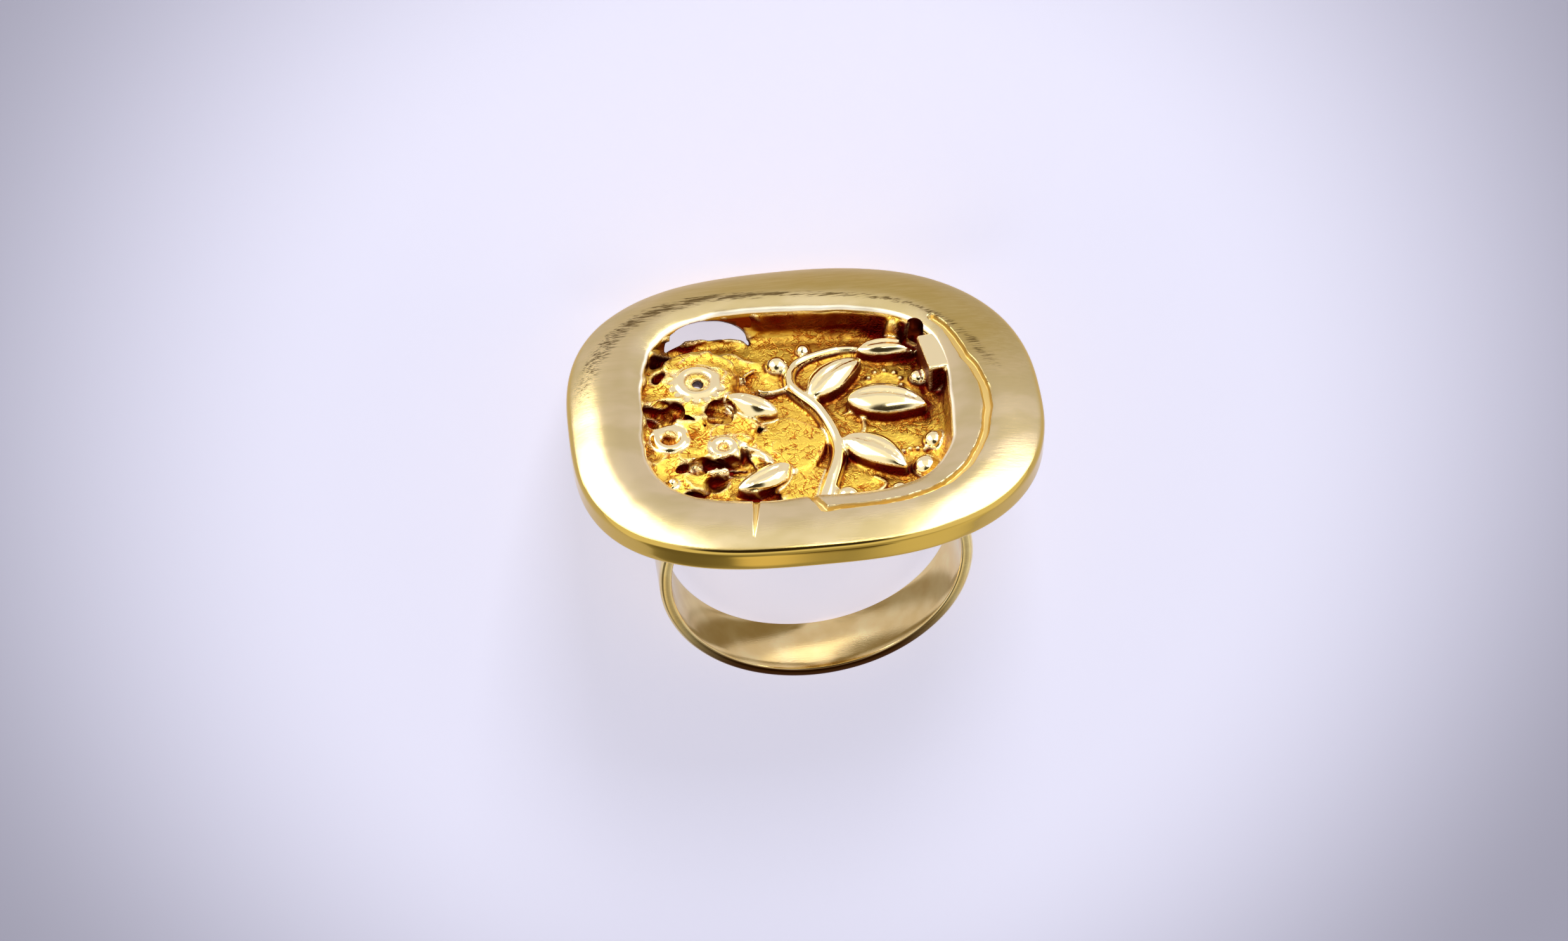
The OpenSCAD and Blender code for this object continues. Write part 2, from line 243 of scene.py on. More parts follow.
wobble += EDGE_CHIPS * ripple(loop_x, loop_y, 0.45, 5.0) * left_side
wobble -= by_angle(FRONT_EDGE)
for angle, depth, spread in NICKS:
    wobble += depth * np.exp(-(((np.degrees(rim_angle) - angle) / spread) ** 2))
inwards = rim_outline - rim_window
rim_width = np.linalg.norm(inwards, axis=1)
inwards /= rim_width[:, None]
rim_window = rim_window + inwards * wobble[:, None]
rim_width = rim_width - wobble
rim_around = np.concatenate([[0], np.cumsum(np.linalg.norm(np.diff(rim_window, axis=0), axis=1))])

CREST_ROUND = 0.28
WALL_ROUND = 0.22
SIDE_LEVEL = 1.0
# By angle: how far from the window the groove runs, and how far the window's edge is rounded
RAIL = [(-180, 1.3), (-90, 1.7), (-60, 1.85), (-38, 1.7), (-24, 1.75), (-8, 2.1), (4, 1.95)]
RAIL += [(17, 1.25), (28, 0.95), (40, 0.75), (60, 1.1), (180, 1.3)]
ARRIS = [(-180, 0.12), (-168, 0.2), (-150, 0.3), (-110, 0.3), (-92, 0.2), (-80, 0.14), (0, 0.12)]
ARRIS += [(45, 0.14), (100, 0.17), (150, 0.15), (180, 0.12)]
BESIDE_GROOVE = np.arange(0.34, -0.35, -0.04)
FACE_ROWS = 20
FACE_MARGIN = 0.1
SLOPE_STEP = 0.05
rail_middle = by_angle(RAIL)
arris_round = by_angle(ARRIS)


def rim_section(width, rail, arris):
    """Rows of the rim's section, from under it out, up the side wall, over the face and down the window's
    wall. Each is the distance from the outline and the height over the underside, for every column."""
    low = TRAY_UNDERSIDE - PLATE_UNDERSIDE
    rows = [(TRAY_START * width, 0), (0.4 * width, 0)]
    rows += bend((WALL_ROUND, 0), (0, 0), (0, WALL_ROUND), 6)
    rows += [(0, up) for up in np.linspace(WALL_ROUND, WALL_HEIGHT - WALL_ROUND, 5)[1:-1]]
    face = dome(CREST_ROUND / width)
    corner = face - (dome((CREST_ROUND + SLOPE_STEP) / width) - face) / SLOPE_STEP * CREST_ROUND
    rows += bend((0, corner - 1.1 * CREST_ROUND), (0, corner), (CREST_ROUND, face), 8)[:-1]
    inner = width - rail - BESIDE_GROOVE[0]
    steps = np.linspace(0, 1, FACE_ROWS + 1)[:-1]
    reaches = [CREST_ROUND + (inner - CREST_ROUND) * t for t in steps]
    reaches += [width - rail - beside for beside in BESIDE_GROOVE[:-1]]
    rail_edge = rail + BESIDE_GROOVE[-1]
    reaches += [width - rail_edge + (rail_edge - arris) * t for t in np.linspace(0, 1, 15)[:-1]]
    rows += [(reach, dome(reach / width)) for reach in reaches]
    face = dome((width - arris) / width)
    corner = dome(np.ones_like(width))
    rows += bend((width - arris, face), (width, corner), (width, corner - arris), 7)
    inside = np.linspace(WINDOW_EDGE - 0.4, FLOOR_LEVEL - PLATE_UNDERSIDE, 4)
    rows += [(width, up) for up in inside]
    rows += [(width, low), (0.8 * width, low), (TRAY_START * width, 0)]
    return np.array([np.stack(np.broadcast_arrays(*row, width)[:2], -1) for row in rows])


sections = rim_section(rim_width, rail_middle, arris_round)
reach, height = sections[..., 0], sections[..., 1]
from_window = rim_width - reach
on_face = (height > WALL_HEIGHT - FACE_MARGIN) & (from_window > 0.005)

# The groove runs along the rail from its hook at the front to the upper right, and the cut crosses
# the front of the rim; both are pressed into the face
GROOVE_HALF = [(-90, 0.2), (-45, 0.21), (-20, 0.25), (5, 0.29), (20, 0.27), (40, 0.17)]
GROOVE_DEPTH = 0.3
GROOVE_ENDS = (math.radians(-86), math.radians(38))


def arc_at(angle):
    """How far along the window's edge an angle is."""
    return float(np.interp(angle, rim_angle, rim_around))


def along_rim(size, seed):
    """Soft unevenness along the window's edge."""
    return ripple(rim_around, 0 * rim_around, size, seed)


groove_start, groove_stop = arc_at(GROOVE_ENDS[0]), arc_at(GROOVE_ENDS[1])
groove_wander = 0.05 * along_rim(0.9, 11.0) + 0.08 * along_rim(3.0, 12.0)
along = np.broadcast_to(rim_around, reach.shape)
groove_line = (rail_middle + groove_wander)
off_middle = np.abs(from_window - groove_line)
past_end = np.maximum(np.maximum(groove_start - along, along - groove_stop), 0)
to_groove = np.hypot(off_middle, past_end)
beyond = np.maximum(from_window - groove_line, 0)
to_hook = np.hypot(along - groove_start - 0.05 * ripple(0 * along, from_window, 0.5, 13.0), beyond)
to_groove = np.minimum(to_groove, to_hook)
groove_half = by_angle(GROOVE_HALF) * (1 + 0.25 * along_rim(1.1, 14.0))
groove_mask = 1 - smooth_step(0.5, 1.2, to_groove / groove_half)
cut_at = arc_at(CUT_ANGLE)
cut_share = np.clip(from_window / CUT_REACH, 0, 1)
cut_half = CUT_HALF * (1.15 - cut_share)
cut_off = np.abs(along - cut_at + CUT_LEAN * from_window)
cut_mask = 1 - smooth_step(0.35, 1.15, cut_off / np.maximum(cut_half, 0.02))
cut_mask = cut_mask * (1 - smooth_step(CUT_REACH - 0.1, CUT_REACH, from_window))
sunk = np.where(on_face, GROOVE_DEPTH * groove_mask, 0)
sunk = np.maximum(sunk, np.where(on_face, CUT_DEPTH * (1.2 - cut_share) * cut_mask, 0))
height = height - sunk

share = reach / rim_width
rim_spots = rim_outline + (rim_window - rim_outline) * share[..., None]
rim_x, rim_y = rim_spots[..., 0], rim_spots[..., 1]
drop = np.where(height > 0, CAMBER * (rim_x / PLATE_REACH["left"]) ** 2, 0)
uneven = 0.022 * ripple(rim_x, rim_y, 3.2, 21.0) + 0.004 * ripple(rim_x, rim_y, 1.1, 22.0)
rim_z = PLATE_UNDERSIDE + height - drop + np.where(height > SIDE_LEVEL, uneven, 0)
rim_place = np.stack([rim_x, rim_y, rim_z], -1)
rim_place[:, -1] = rim_place[:, 0]

# The plate's outline is brought to its exact length and width
plate_length = PLATE_REACH["left"] + PLATE_REACH["right"]
plate_width = PLATE_REACH["back"] + PLATE_REACH["front"]
plate_fit = Matrix.Diagonal((plate_length / float(np.ptp(rim_x)), plate_width / float(np.ptp(rim_y)), 1, 1))

# Where the brush left dark hairs along the far side, which also paint a dark reflection streak there, how
# wide that band is and how dense
HAIR_LINE = [(-180, 3.4), (8, 2.9), (25, 1.7), (42, 0.95), (60, 0.85), (92, 0.95), (112, 1.1)]
HAIR_LINE += [(132, 1.5), (150, 2.4), (168, 3.4), (180, 3.4)]
HAIR_SPREAD = [(8, 0.5), (25, 0.3), (42, 0.16), (92, 0.17), (112, 0.28), (150, 0.5), (180, 0.8)]
HAIR_DENSITY = [(-180, 0.1), (-172, 0), (2, 0), (14, 0.45), (30, 0.6), (60, 0.7), (100, 0.95)]
HAIR_DENSITY += [(125, 1), (150, 0.75), (180, 0.1)]
hair_line = by_angle(HAIR_LINE) + 0.12 * along_rim(2.5, 31.0)
hair_off = (from_window - hair_line) / by_angle(HAIR_SPREAD)
hair_streak_mark = np.exp(-(hair_off**2)) * by_angle(HAIR_DENSITY)

# By angle: how brightly the window's edge is rubbed and lit by a painted highlight, and how far
# painted shade darkens the rim's face
EDGE_HIGHLIGHT = [(-180, 0.3), (-150, 0.35), (-120, 0.5), (-90, 0.6), (-60, 0.85), (0, 0.7), (20, 0.8)]
EDGE_HIGHLIGHT += [(40, 1), (160, 1), (172, 0.6), (180, 0.3)]
FAR_SHADE = [(-180, 0.3), (-130, 0), (-50, 0), (-10, 0.2), (10, 0.7), (25, 1.05), (75, 1.05), (110, 0.9)]
FAR_SHADE += [(140, 0.55), (180, 0.3)]
wall_mark = np.where(height < SIDE_LEVEL, 1, 1 - smooth_step(0.12, 0.36, reach))
# The window's edge is rubbed, and its pale colour is also a painted highlight, stronger where the edge
# catches the light
edge_highlight_mark = 1 - smooth_step(0.8, 1.6, from_window / arris_round)
rub_and_highlight = by_angle(EDGE_HIGHLIGHT) * (1 + 0.5 * along_rim(1.7, 33.0))
edge_highlight_mark = np.where(on_face, edge_highlight_mark, 0) * (1 - groove_mask) * (1 - cut_mask)
edge_highlight_mark = edge_highlight_mark * np.clip(rub_and_highlight, 0, 1)
# Painted shade: the face darkens by angle, most at the far side, and away from the window's edge
far_shade_mark = by_angle(FAR_SHADE) * smooth_step(0.3, 1.6, from_window)
# The window's inner wall is marked for a painted deep brown shade
wall_shade_mark = np.where((from_window < 0.01) & (height < WINDOW_EDGE - arris_round), 1, 0.0)

rim_mesh = draw_grid(
    "plate_rim",
    rim_place,
    marks=[
        ("groove", np.maximum(groove_mask, cut_mask) * on_face),
        ("hairs", hair_streak_mark),
        ("wall", wall_mark),
        ("bright", edge_highlight_mark),
        ("far_shade", far_shade_mark),
        ("cast", wall_shade_mark),
    ],
)
rim = new_object("plate_rim", rim_mesh)

# The openings: one long crescent that leans out under the rim at the upper left, so that the surface
# behind shows through it, and two small holes, all pierced, and a blind round notch in the corner.

OPENING_CENTRE = (-5.15, 5.2)
OPENING_HALF = 2.6
OPENING_RISE = 2.25
OPENING_BELLY = 1.05
OPENING_END = 0.4
OPENING_RAGGED = 0.06
OPENING_LEAN = 1.0
HOLE_LEAN = 0.75
HOLES = [(-8.15, -5.2, FLOOR_LEVEL, 0.42), (-6.2, 3.6, FLOOR_LEVEL + 1.0, 0.4)]
NOTCH = (6.8, 5.7, 0.68)
NOTCH_FLOOR = FLOOR_LEVEL + 0.3
NOTCH_LEAN = 0.1
ON_CUT = 0.01


def pull_out(bm, faces):
    """Stretches faces into a solid, and gives the points of its new end."""
    made = bmesh.ops.extrude_face_region(bm, geom=faces)
    return [part for part in made["geom"] if isinstance(part, bmesh.types.BMVert)]


def leaning_solid(points, level, lean, low, high):
    """An outline at one level, stretched from low to high along a line that leans back as it goes down."""
    bm = bmesh.new()
    corners = [bm.verts.new((x, y + lean * (level - low), low)) for x, y in points]
    moved = pull_out(bm, [bm.faces.new(corners)])
    bmesh.ops.translate(bm, verts=moved, vec=(0, -lean * (high - low), high - low))
    bmesh.ops.recalc_face_normals(bm, faces=bm.faces)
    return bm


turns = np.linspace(0, math.pi, 41)
uneven_edge = OPENING_RAGGED * ripple(2 * np.cos(turns), 0 * turns, 0.45, 41.0)
upper = OPENING_END + (OPENING_RISE + 0.6 * uneven_edge) * np.sin(turns) ** 0.9
lower = (OPENING_BELLY + 2.2 * uneven_edge) * np.sin(turns)
crescent = [(OPENING_HALF * math.cos(a), y) for a, y in zip(turns, upper)]
crescent += [(OPENING_HALF * math.cos(a), y) for a, y in zip(turns[::-1], lower[::-1])]
crescent = [(x + OPENING_CENTRE[0], y + OPENING_CENTRE[1]) for x, y in crescent]
opening_low = FLOOR_LEVEL - 2
opening = leaning_solid(crescent, WINDOW_LEVEL, OPENING_LEAN, opening_low, WINDOW_LEVEL + 0.4)
cutters = [drawn("opening", opening)]
circle = [(math.cos(a), math.sin(a)) for a in np.linspace(0, 2 * math.pi, 37)[:-1]]
notch_x, notch_y, notch_radius = NOTCH
bite = [(notch_x + notch_radius * x, notch_y + notch_radius * y) for x, y in circle]
notch = leaning_solid(bite, NOTCH_FLOOR, NOTCH_LEAN, NOTCH_FLOOR, WINDOW_LEVEL + 1)
cutters.append(drawn("notch", notch))
for tool in cutters:
    cut_out(rim, tool)
    around_tool = bmesh.new()
    around_tool.from_mesh(tool.data)
    tool_sides = BVHTree.FromBMesh(around_tool)
    around_tool.free()
    # The sides of the openings and the notch take the same painted deep brown shade
    wall_shade_layer = rim.data.attributes["cast"].data
    for vert, value in zip(rim.data.vertices, wall_shade_layer):
        if tool_sides.find_nearest(vert.co, ON_CUT)[0] is not None:
            value.value = 1.0
for x, y, level, radius in HOLES:
    edge = [(x + radius * right, y + radius * back) for right, back in circle]
    cutters.append(drawn("hole", leaning_solid(edge, level, HOLE_LEAN, opening_low, level + 2)))


class Wire:
    """A socket in a material, with the maths that its patterns need."""

    def __init__(self, finish, socket):
        self.finish = finish
        self.socket = socket

    def _maths(self, operation, *values):
        return self.finish.node("Math", {"operation": operation}, values)

    def __add__(self, other):
        return self._maths("ADD", self, other)

    __radd__ = __add__

    def __sub__(self, other):
        return self._maths("SUBTRACT", self, other)

    def __rsub__(self, other):
        return self._maths("SUBTRACT", other, self)

    def __mul__(self, other):
        return self._maths("MULTIPLY", self, other)

    __rmul__ = __mul__

    def distance(self):
        return self._maths("ABSOLUTE", self)

    def between(self, low, high):
        """0 below low, 1 above high and a soft step between them."""
        spread = {"interpolation_type": "SMOOTHSTEP"}
        return self.finish.node("MapRange", spread, (self, low, high, 0.0, 1.0))


class Finish:
    """A material, or the studio's surroundings, and the nodes that its pattern is drawn with."""

    def __init__(self, owner):
        self.owner = owner
        self.owner.use_nodes = True
        self.nodes = owner.node_tree.nodes
        self.links = owner.node_tree.links
        self.nodes.clear()

    def node(self, kind, settings=(), values=(), output=0):
        """One node: its type, its settings, and the values or wires of its sockets, in order or by name."""
        made = self.nodes.new("ShaderNode" + kind)
        for key, value in dict(settings).items():
            setattr(made, key, value)
        named = values.items() if isinstance(values, dict) else enumerate(values)
        for key, value in named:
            if isinstance(value, Wire):
                self.links.new(value.socket, made.inputs[key])
            elif value is not None:
                made.inputs[key].default_value = value
        return Wire(self, made.outputs[output]) if made.outputs else None

    def mark(self, name):
        """What an attribute of the mesh says, from 0 to 1."""
        return self.node("Attribute", {"attribute_name": name}, output="Fac")

    def place(self, scale):
        """Object coordinates, stretched by three numbers. The first runs along the plate."""
        found = self.node("TexCoord", output="Object")
        return self.node("Mapping", (), {"Vector": found, "Scale": scale})

    def grain(self, stretch, scale, detail=2.0, rough=0.5, warp=0.0):
        """Cloudy unevenness, from 0 to 1, in object coordinates stretched by three numbers."""
        values = {"Vector": self.place(stretch), "Scale": scale, "Detail": detail, "Roughness": rough}
        values["Distortion"] = warp
        return self.node("TexNoise", (), values, output="Fac")

    def mix(self, share, first, second):
        """The first colour where the share is 0, and the second where it is 1."""
        kind = {"data_type": "RGBA"}
        return self.node("Mix", kind, {0: share, 6: first, 7: second}, output=2)

    def bump(self, height, distance, strength):
        """Small relief for the light alone, a distance deep."""
        values = {"Height": height, "Distance": distance, "Strength": strength}
        return self.node("Bump", (), values)

    def cover(self, piece, **sockets):
        """Finishes the shader and puts the material on the piece."""
        named = {key.replace("_", " "): value for key, value in sockets.items()}
        shader = self.node("BsdfPrincipled", (), named)
        self.node("OutputMaterial", (), {"Surface": shader})
        piece.data.materials.clear()
        piece.data.materials.append(self.owner)


SHARP_FOLD = math.radians(52)


def lay_on_floor(piece):
    """Lays a finished gold piece down at its place and lets it stand for the ring's solid."""
    piece.data.transform(LAY_DOWN)
    piece.data.polygons.foreach_set("use_smooth", [True] * len(piece.data.polygons))
    piece.data.set_sharp_from_angle(angle=SHARP_FOLD)
    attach(piece, "root")
    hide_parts("ring")


# The rim's finish: brushed along the plate, with painted shade on the far side, a yellower groove darkened
# by painted shade, dark brush hairs that are partly a painted dark reflection streak, a side wall darker by
# painted shade, and the window's edge rubbed bright with a painted highlight
BRUSHED = (0.69, 0.545, 0.28, 1)
BRUSHED_DULL = (0.61, 0.475, 0.21, 1)
RUBBED_HIGHLIGHT = (1.0, 0.92, 0.7, 1)
FAR_SHADE_GOLD = (0.45, 0.31, 0.075, 1)
SIDE_WALL_SHADE = (0.62, 0.415, 0.085, 1)
GROOVE_SHADE_GOLD = (0.68, 0.47, 0.13, 1)
HAIR_STREAK_BROWN = (0.1, 0.055, 0.012, 1)
DEEP_SHADE_BROWN = (0.16, 0.02, 0.004, 1)
STROKES = (500.0, 6500.0, 6500.0)
FINE_STROKES = (1800.0, 26000.0, 26000.0)
FUZZ = (1100.0, 15000.0, 15000.0)
CLOUDS = (300.0, 600.0, 600.0)
SCRATCH_DEPTH = 0.000012

brushed = Finish(bpy.data.materials.new("brushed_gold"))
strokes = brushed.grain(STROKES, 1.0, 3.0, 0.65)
fine = brushed.grain(FINE_STROKES, 1.0, 2.0, 0.5)
clouds = brushed.grain(CLOUDS, 1.0, 2.0)
groove = brushed.mark("groove")
wall = brushed.mark("wall")
bright = brushed.mark("bright")
hairs = brushed.mark("hairs")
fuzz = brushed.grain(FUZZ, 1.0, 3.0, 0.6)
dark_hair_streak = (hairs * 0.8 + (strokes - 0.5) * 1.5 + (fuzz - 0.5) * 3.6 - 0.22).between(0.05, 0.65)
dark_hair_streak = dark_hair_streak * hairs.between(0.06, 0.35)
colour = brushed.mix(clouds.between(0.35, 0.65), BRUSHED_DULL, BRUSHED)
# Painted shade: the far side of the face is darkened towards a deep olive gold
far_shaded = brushed.mark("far_shade") * (0.75 + 0.5 * (strokes - 0.5) + 0.4 * (clouds - 0.5))
colour = brushed.mix(far_shaded.between(0.0, 1.0), colour, FAR_SHADE_GOLD)
# The groove and the cut are a yellower, unpolished gold, darkened as painted shade
colour = brushed.mix(groove * 0.85, colour, GROOVE_SHADE_GOLD)
# Dark brush hairs, which also carry a painted dark reflection streak along the far side
colour = brushed.mix(dark_hair_streak * 0.85, colour, HAIR_STREAK_BROWN)
# Painted highlight: a pale cream along the rubbed window edge
colour = brushed.mix(bright, colour, RUBBED_HIGHLIGHT)
# Painted shade: the side wall is darker and deeper in colour
colour = brushed.mix(wall, colour, SIDE_WALL_SHADE)
# Painted shade: the window's inner wall and the sides of the openings go near black brown
colour = brushed.mix(brushed.mark("cast"), colour, DEEP_SHADE_BROWN)
shine = 0.2 + 0.05 * clouds + 0.2 * groove - 0.13 * wall + 0.2 * bright
scratches = brushed.bump((strokes + 0.5 * fine) * (1 - bright) * (1 - wall), SCRATCH_DEPTH, 0.5)
brushed.cover(rim, Base_Color=colour, Metallic=1.0, Roughness=shine, Normal=scratches)
rim.data.transform(plate_fit)
lay_on_floor(rim)

# The sunk casting: the tray of the window with its wall, a rough shelf on the left, and a spray of
# leaves, berries and cups on a stem. It is cast in one and left matte, darkened with painted shade in its
# hollows and creases, and what stands up is polished.

# Each row opens with its place in the window. Then come radius and height for the shelf, berries and
# knob; turn, length, width and height for leaves; lip, hollow and height for cups; half-width and height
# for the stem and tendrils; an arc's radius, first and last angle, count and level for rows of beads;
# length, width and turn for the lug.
VOXEL = 0.082
SHELF = [
    (-8.3, 2.4, 3.1, 1.2),
    (-6.1, 4.1, 2.3, 1.3),
    (-8.5, -2.2, 2.9, 1.0),
    (-5.6, 0.4, 2.5, 0.9),
    (-1.6, -1.4, 2.3, 0.45),
    (-0.9, -4.9, 1.9, 0.35),
]
LEAVES = [
    (1.9, 3.3, 38, 4.3, 1.9, 1.35),
    (4.6, 0.8, -14, 4.7, 2.3, 1.45),
    (3.3, -3.1, -42, 4.4, 2.0, 1.3),
    (-3.3, -4.1, 206, 3.6, 1.6, 1.25),
    (-3.3, 1.6, 148, 3.4, 1.5, 1.75),
    (5.3, 5.3, -8, 3.6, 1.3, 1.2),
]
BERRIES = [
    (6.9, -2.2, 0.72, 0.8),
    (6.1, -4.3, 0.88, 0.95),
    (4.3, -5.9, 0.62, 0.7),
    (1.3, -6.0, 0.78, 0.85),
    (6.8, 3.1, 0.6, 0.7),
    (-1.3, 5.3, 0.72, 0.8),
    (0.4, 6.4, 0.5, 0.6),
    (-5.4, -6.1, 0.64, 0.75),
    (-8.6, -4.2, 0.55, 1.4),
]
KNOB = (5.8, 6.5, 0.6, 1.9)
CUPS = [
    (-6.2, 3.6, 1.05, 0.72, 1.45),
    (-8.3, -0.6, 0.8, 0.5, 1.25),
    (-5.3, -1.6, 0.62, 0.36, 1.1),
]
STEM = [
    (-0.6, -7.6, 0.6, 0.5),
    (0.3, -5.2, 0.55, 0.7),
    (1.3, -2.2, 0.5, 0.8),
    (0.7, 0.9, 0.48, 0.85),
    (-0.7, 3.3, 0.42, 0.75),
    (-0.2, 5.2, 0.36, 0.6),
    (2.2, 6.1, 0.3, 0.5),
    (4.0, 6.0, 0.2, 0.35),
]
TENDRILS = [
    [(1.2, -2.4, 0.2, 0.5), (2.9, -0.9, 0.17, 0.3), (3.0, 0.5, 0.15, 0.25), (2.1, 0.9, 0.13, 0.2)],
    [(0.3, -5.0, 0.2, 0.45), (2.2, -6.0, 0.17, 0.3), (3.6, -5.2, 0.15, 0.25), (3.0, -4.4, 0.12, 0.2)],
    [(-0.7, 3.3, 0.18, 0.5), (-2.4, 3.0, 0.16, 0.6), (-3.4, 4.2, 0.15, 0.7), (-2.6, 5.2, 0.13, 0.35)],
    [(-4.6, -1.2, 0.2, 0.9), (-3.0, -2.2, 0.2, 0.7), (-2.6, -3.4, 0.18, 0.5), (-1.4, -3.6, 0.14, 0.4)],
    [(-7.2, -2.4, 0.2, 1.0), (-6.2, -3.4, 0.2, 1.0), (-5.0, -3.0, 0.17, 0.9), (-4.4, -1.9, 0.14, 0.9)],
]
BEAD = 0.17
BEAD_ROWS = [
    (5.6, -3.9, 1.35, 60, 190, 8, 0.12),
    (-6.2, 3.6, 1.5, 150, 330, 9, 1.15),
    (4.8, 3.1, 1.0, -20, 150, 6, 0.1),
]
LEAF_SKIRT = 0.6
LEAF_TIP = 0.06
LEAF_BOW = 0.06
LEAF_TAPER = 0.22
LEAF_VEIN = 0.17
VEIN_HALF = 0.16
LUG = (7.85, 3.4, 1.5, 2.9, 6)
ROOT = -0.3


def pour(mould, mesh, where=None):
    """Adds a closed shape to the mould, at its place."""
    if where is not None:
        mesh.transform(where)
    mould.from_mesh(mesh)
    bpy.data.meshes.remove(mesh)


def smooth_path(rows, steps):
    """Even cubic through the rows of a table."""
    rows = np.array(rows, float)
    before = np.vstack([rows[:1], rows[:-1]])
    after = np.vstack([rows[1:], rows[-1:]])
    slope = (after - before) / 2
    path = []
    for a, b, sa, sb in zip(rows[:-1], rows[1:], slope[:-1], slope[1:]):
        for t in np.linspace(0, 1, steps + 1)[:-1]:
            path.append(
                (2 * t**3 - 3 * t**2 + 1) * a
                + (t**3 - 2 * t**2 + t) * sa
                + (3 * t**2 - 2 * t**3) * b
                + (t**3 - t**2) * sb
            )
    return np.array(path + [rows[-1]])


def close_ends(mesh):
    """Fills the open ends of a tube."""
    bm = bmesh.new()
    bm.from_mesh(mesh)
    open_edges = [edge for edge in bm.edges if edge.is_boundary]
    bmesh.ops.holes_fill(bm, edges=open_edges, sides=0)
    bmesh.ops.recalc_face_normals(bm, faces=bm.faces)
    bm.to_mesh(mesh)
    bm.free()
    return mesh


def stem_mesh(rows, low):
    """A round-backed stem along a path, each row of which has a half-width and a height."""
    path = smooth_path(rows, 8)
    ahead = np.gradient(path[:, :2], axis=0)
    side = np.stack([-ahead[:, 1], ahead[:, 0]], -1)
    side /= np.linalg.norm(side, axis=1)[:, None]
    turn = np.linspace(0, 2 * math.pi, 17)
    across = np.cos(turn)[:, None] * path[:, 2]
    up = np.sin(turn)[:, None]
    tall = low + np.where(up > 0, up * path[:, 3], 0.3 * up)
    x = path[:, 0] + across * side[:, 0]
    y = path[:, 1] + across * side[:, 1]
    placed = np.stack([x, y, np.broadcast_to(tall, x.shape)], -1)
    placed[-1] = placed[0]
    return close_ends(draw_grid("stem", placed))


def leaf_mesh(length, width, height):
    """A plump leaf with a soft vein along its middle, domed over a steep skirt."""
    a = np.linspace(-1, 1, 57)
    b = np.linspace(-1, 1, 29)[:, None]
    half = width / 2 * (LEAF_TIP + (1 - a**2) ** 0.8 * (1 - LEAF_TAPER * a))
    x = a * length / 2 + 0 * b
    y = b * half + LEAF_BOW * length * (1 - a**2)
    top = height * (LEAF_SKIRT + (1 - LEAF_SKIRT) * (1 - a**2) ** 0.7 * (1 - np.abs(b) ** 2.2))
    top = top - LEAF_VEIN * np.exp(-((b * half / VEIN_HALF) ** 2)) * (1 - a**4)
    sheet = draw_grid("leaf", np.stack([x, y, top], -1))
    bm = bmesh.new()
    bm.from_mesh(sheet)
    for vert in pull_out(bm, bm.faces[:]):
        vert.co.z = ROOT
    bmesh.ops.recalc_face_normals(bm, faces=bm.faces)
    bm.to_mesh(sheet)
    bm.free()
    return sheet


def cup_mesh(lip, hollow, height):
    """A round cup with a rolled lip, as a closed ring."""
    thick = lip - hollow
    turn = np.linspace(math.pi, 0, 9)
    rows = [(lip + thick * math.cos(a), height - thick + thick * math.sin(a)) for a in turn]
    rows = [(hollow, ROOT), *rows, (lip + 1.25 * thick, ROOT), (hollow, ROOT)]
    round_it = np.linspace(0, 2 * math.pi, 49)
    placed = np.array([[(r * math.cos(a), r * math.sin(a), z) for a in round_it] for r, z in rows])
    placed[:, -1] = placed[:, 0]
    return draw_grid("cup", placed)


def ball_mesh(radius, height, subdivisions=3):
    """A ball, stretched upright to its height."""
    bm = bmesh.new()
    bmesh.ops.create_icosphere(bm, subdivisions=subdivisions, radius=radius)
    bmesh.ops.scale(bm, verts=bm.verts, vec=(1, 1, height / radius))
    return mesh_of("ball", bm)


def shelf_mesh(radius, height):
    """A low round block with sloping sides and a wavy outline."""
    turn = np.linspace(0, 2 * math.pi, 65)
    wave = 1 + 0.1 * ripple(1.6 * np.cos(turn) * radius, 1.6 * np.sin(turn) * radius, 2.0, radius)
    rows = [(1.04, ROOT), (1.0, height - 0.35), (0.95, height - 0.08), (0.88, height)]
    placed = np.array(
        [
            [(r * radius * w * math.cos(a), r * radius * w * math.sin(a), z) for a, w in zip(turn, wave)]
            for r, z in rows
        ]
    )
    placed[:, -1] = placed[:, 0]
    return close_ends(draw_grid("shelf", placed))


def block_mesh(length, width, low, high):
    """A square block with soft edges."""
    bm = bmesh.new()
    bmesh.ops.create_cube(bm, size=1)
    bmesh.ops.scale(bm, verts=bm.verts, vec=(length, width, high - low))
    bmesh.ops.translate(bm, verts=bm.verts, vec=(0, 0, (low + high) / 2))
    bmesh.ops.bevel(bm, geom=bm.edges[:], offset=0.1, affect="EDGES", segments=3, profile=0.5, material=-1)
    return mesh_of("block", bm)


def in_tray(x, y, up=0.0, turn=0.0):
    """A place in the window, its height over the floor and a turn in degrees."""
    return Matrix.Translation((x, y, FLOOR_LEVEL + up)) @ Matrix.Rotation(math.radians(turn), 4, "Z")


mould = bmesh.new()
raised = bmesh.new()

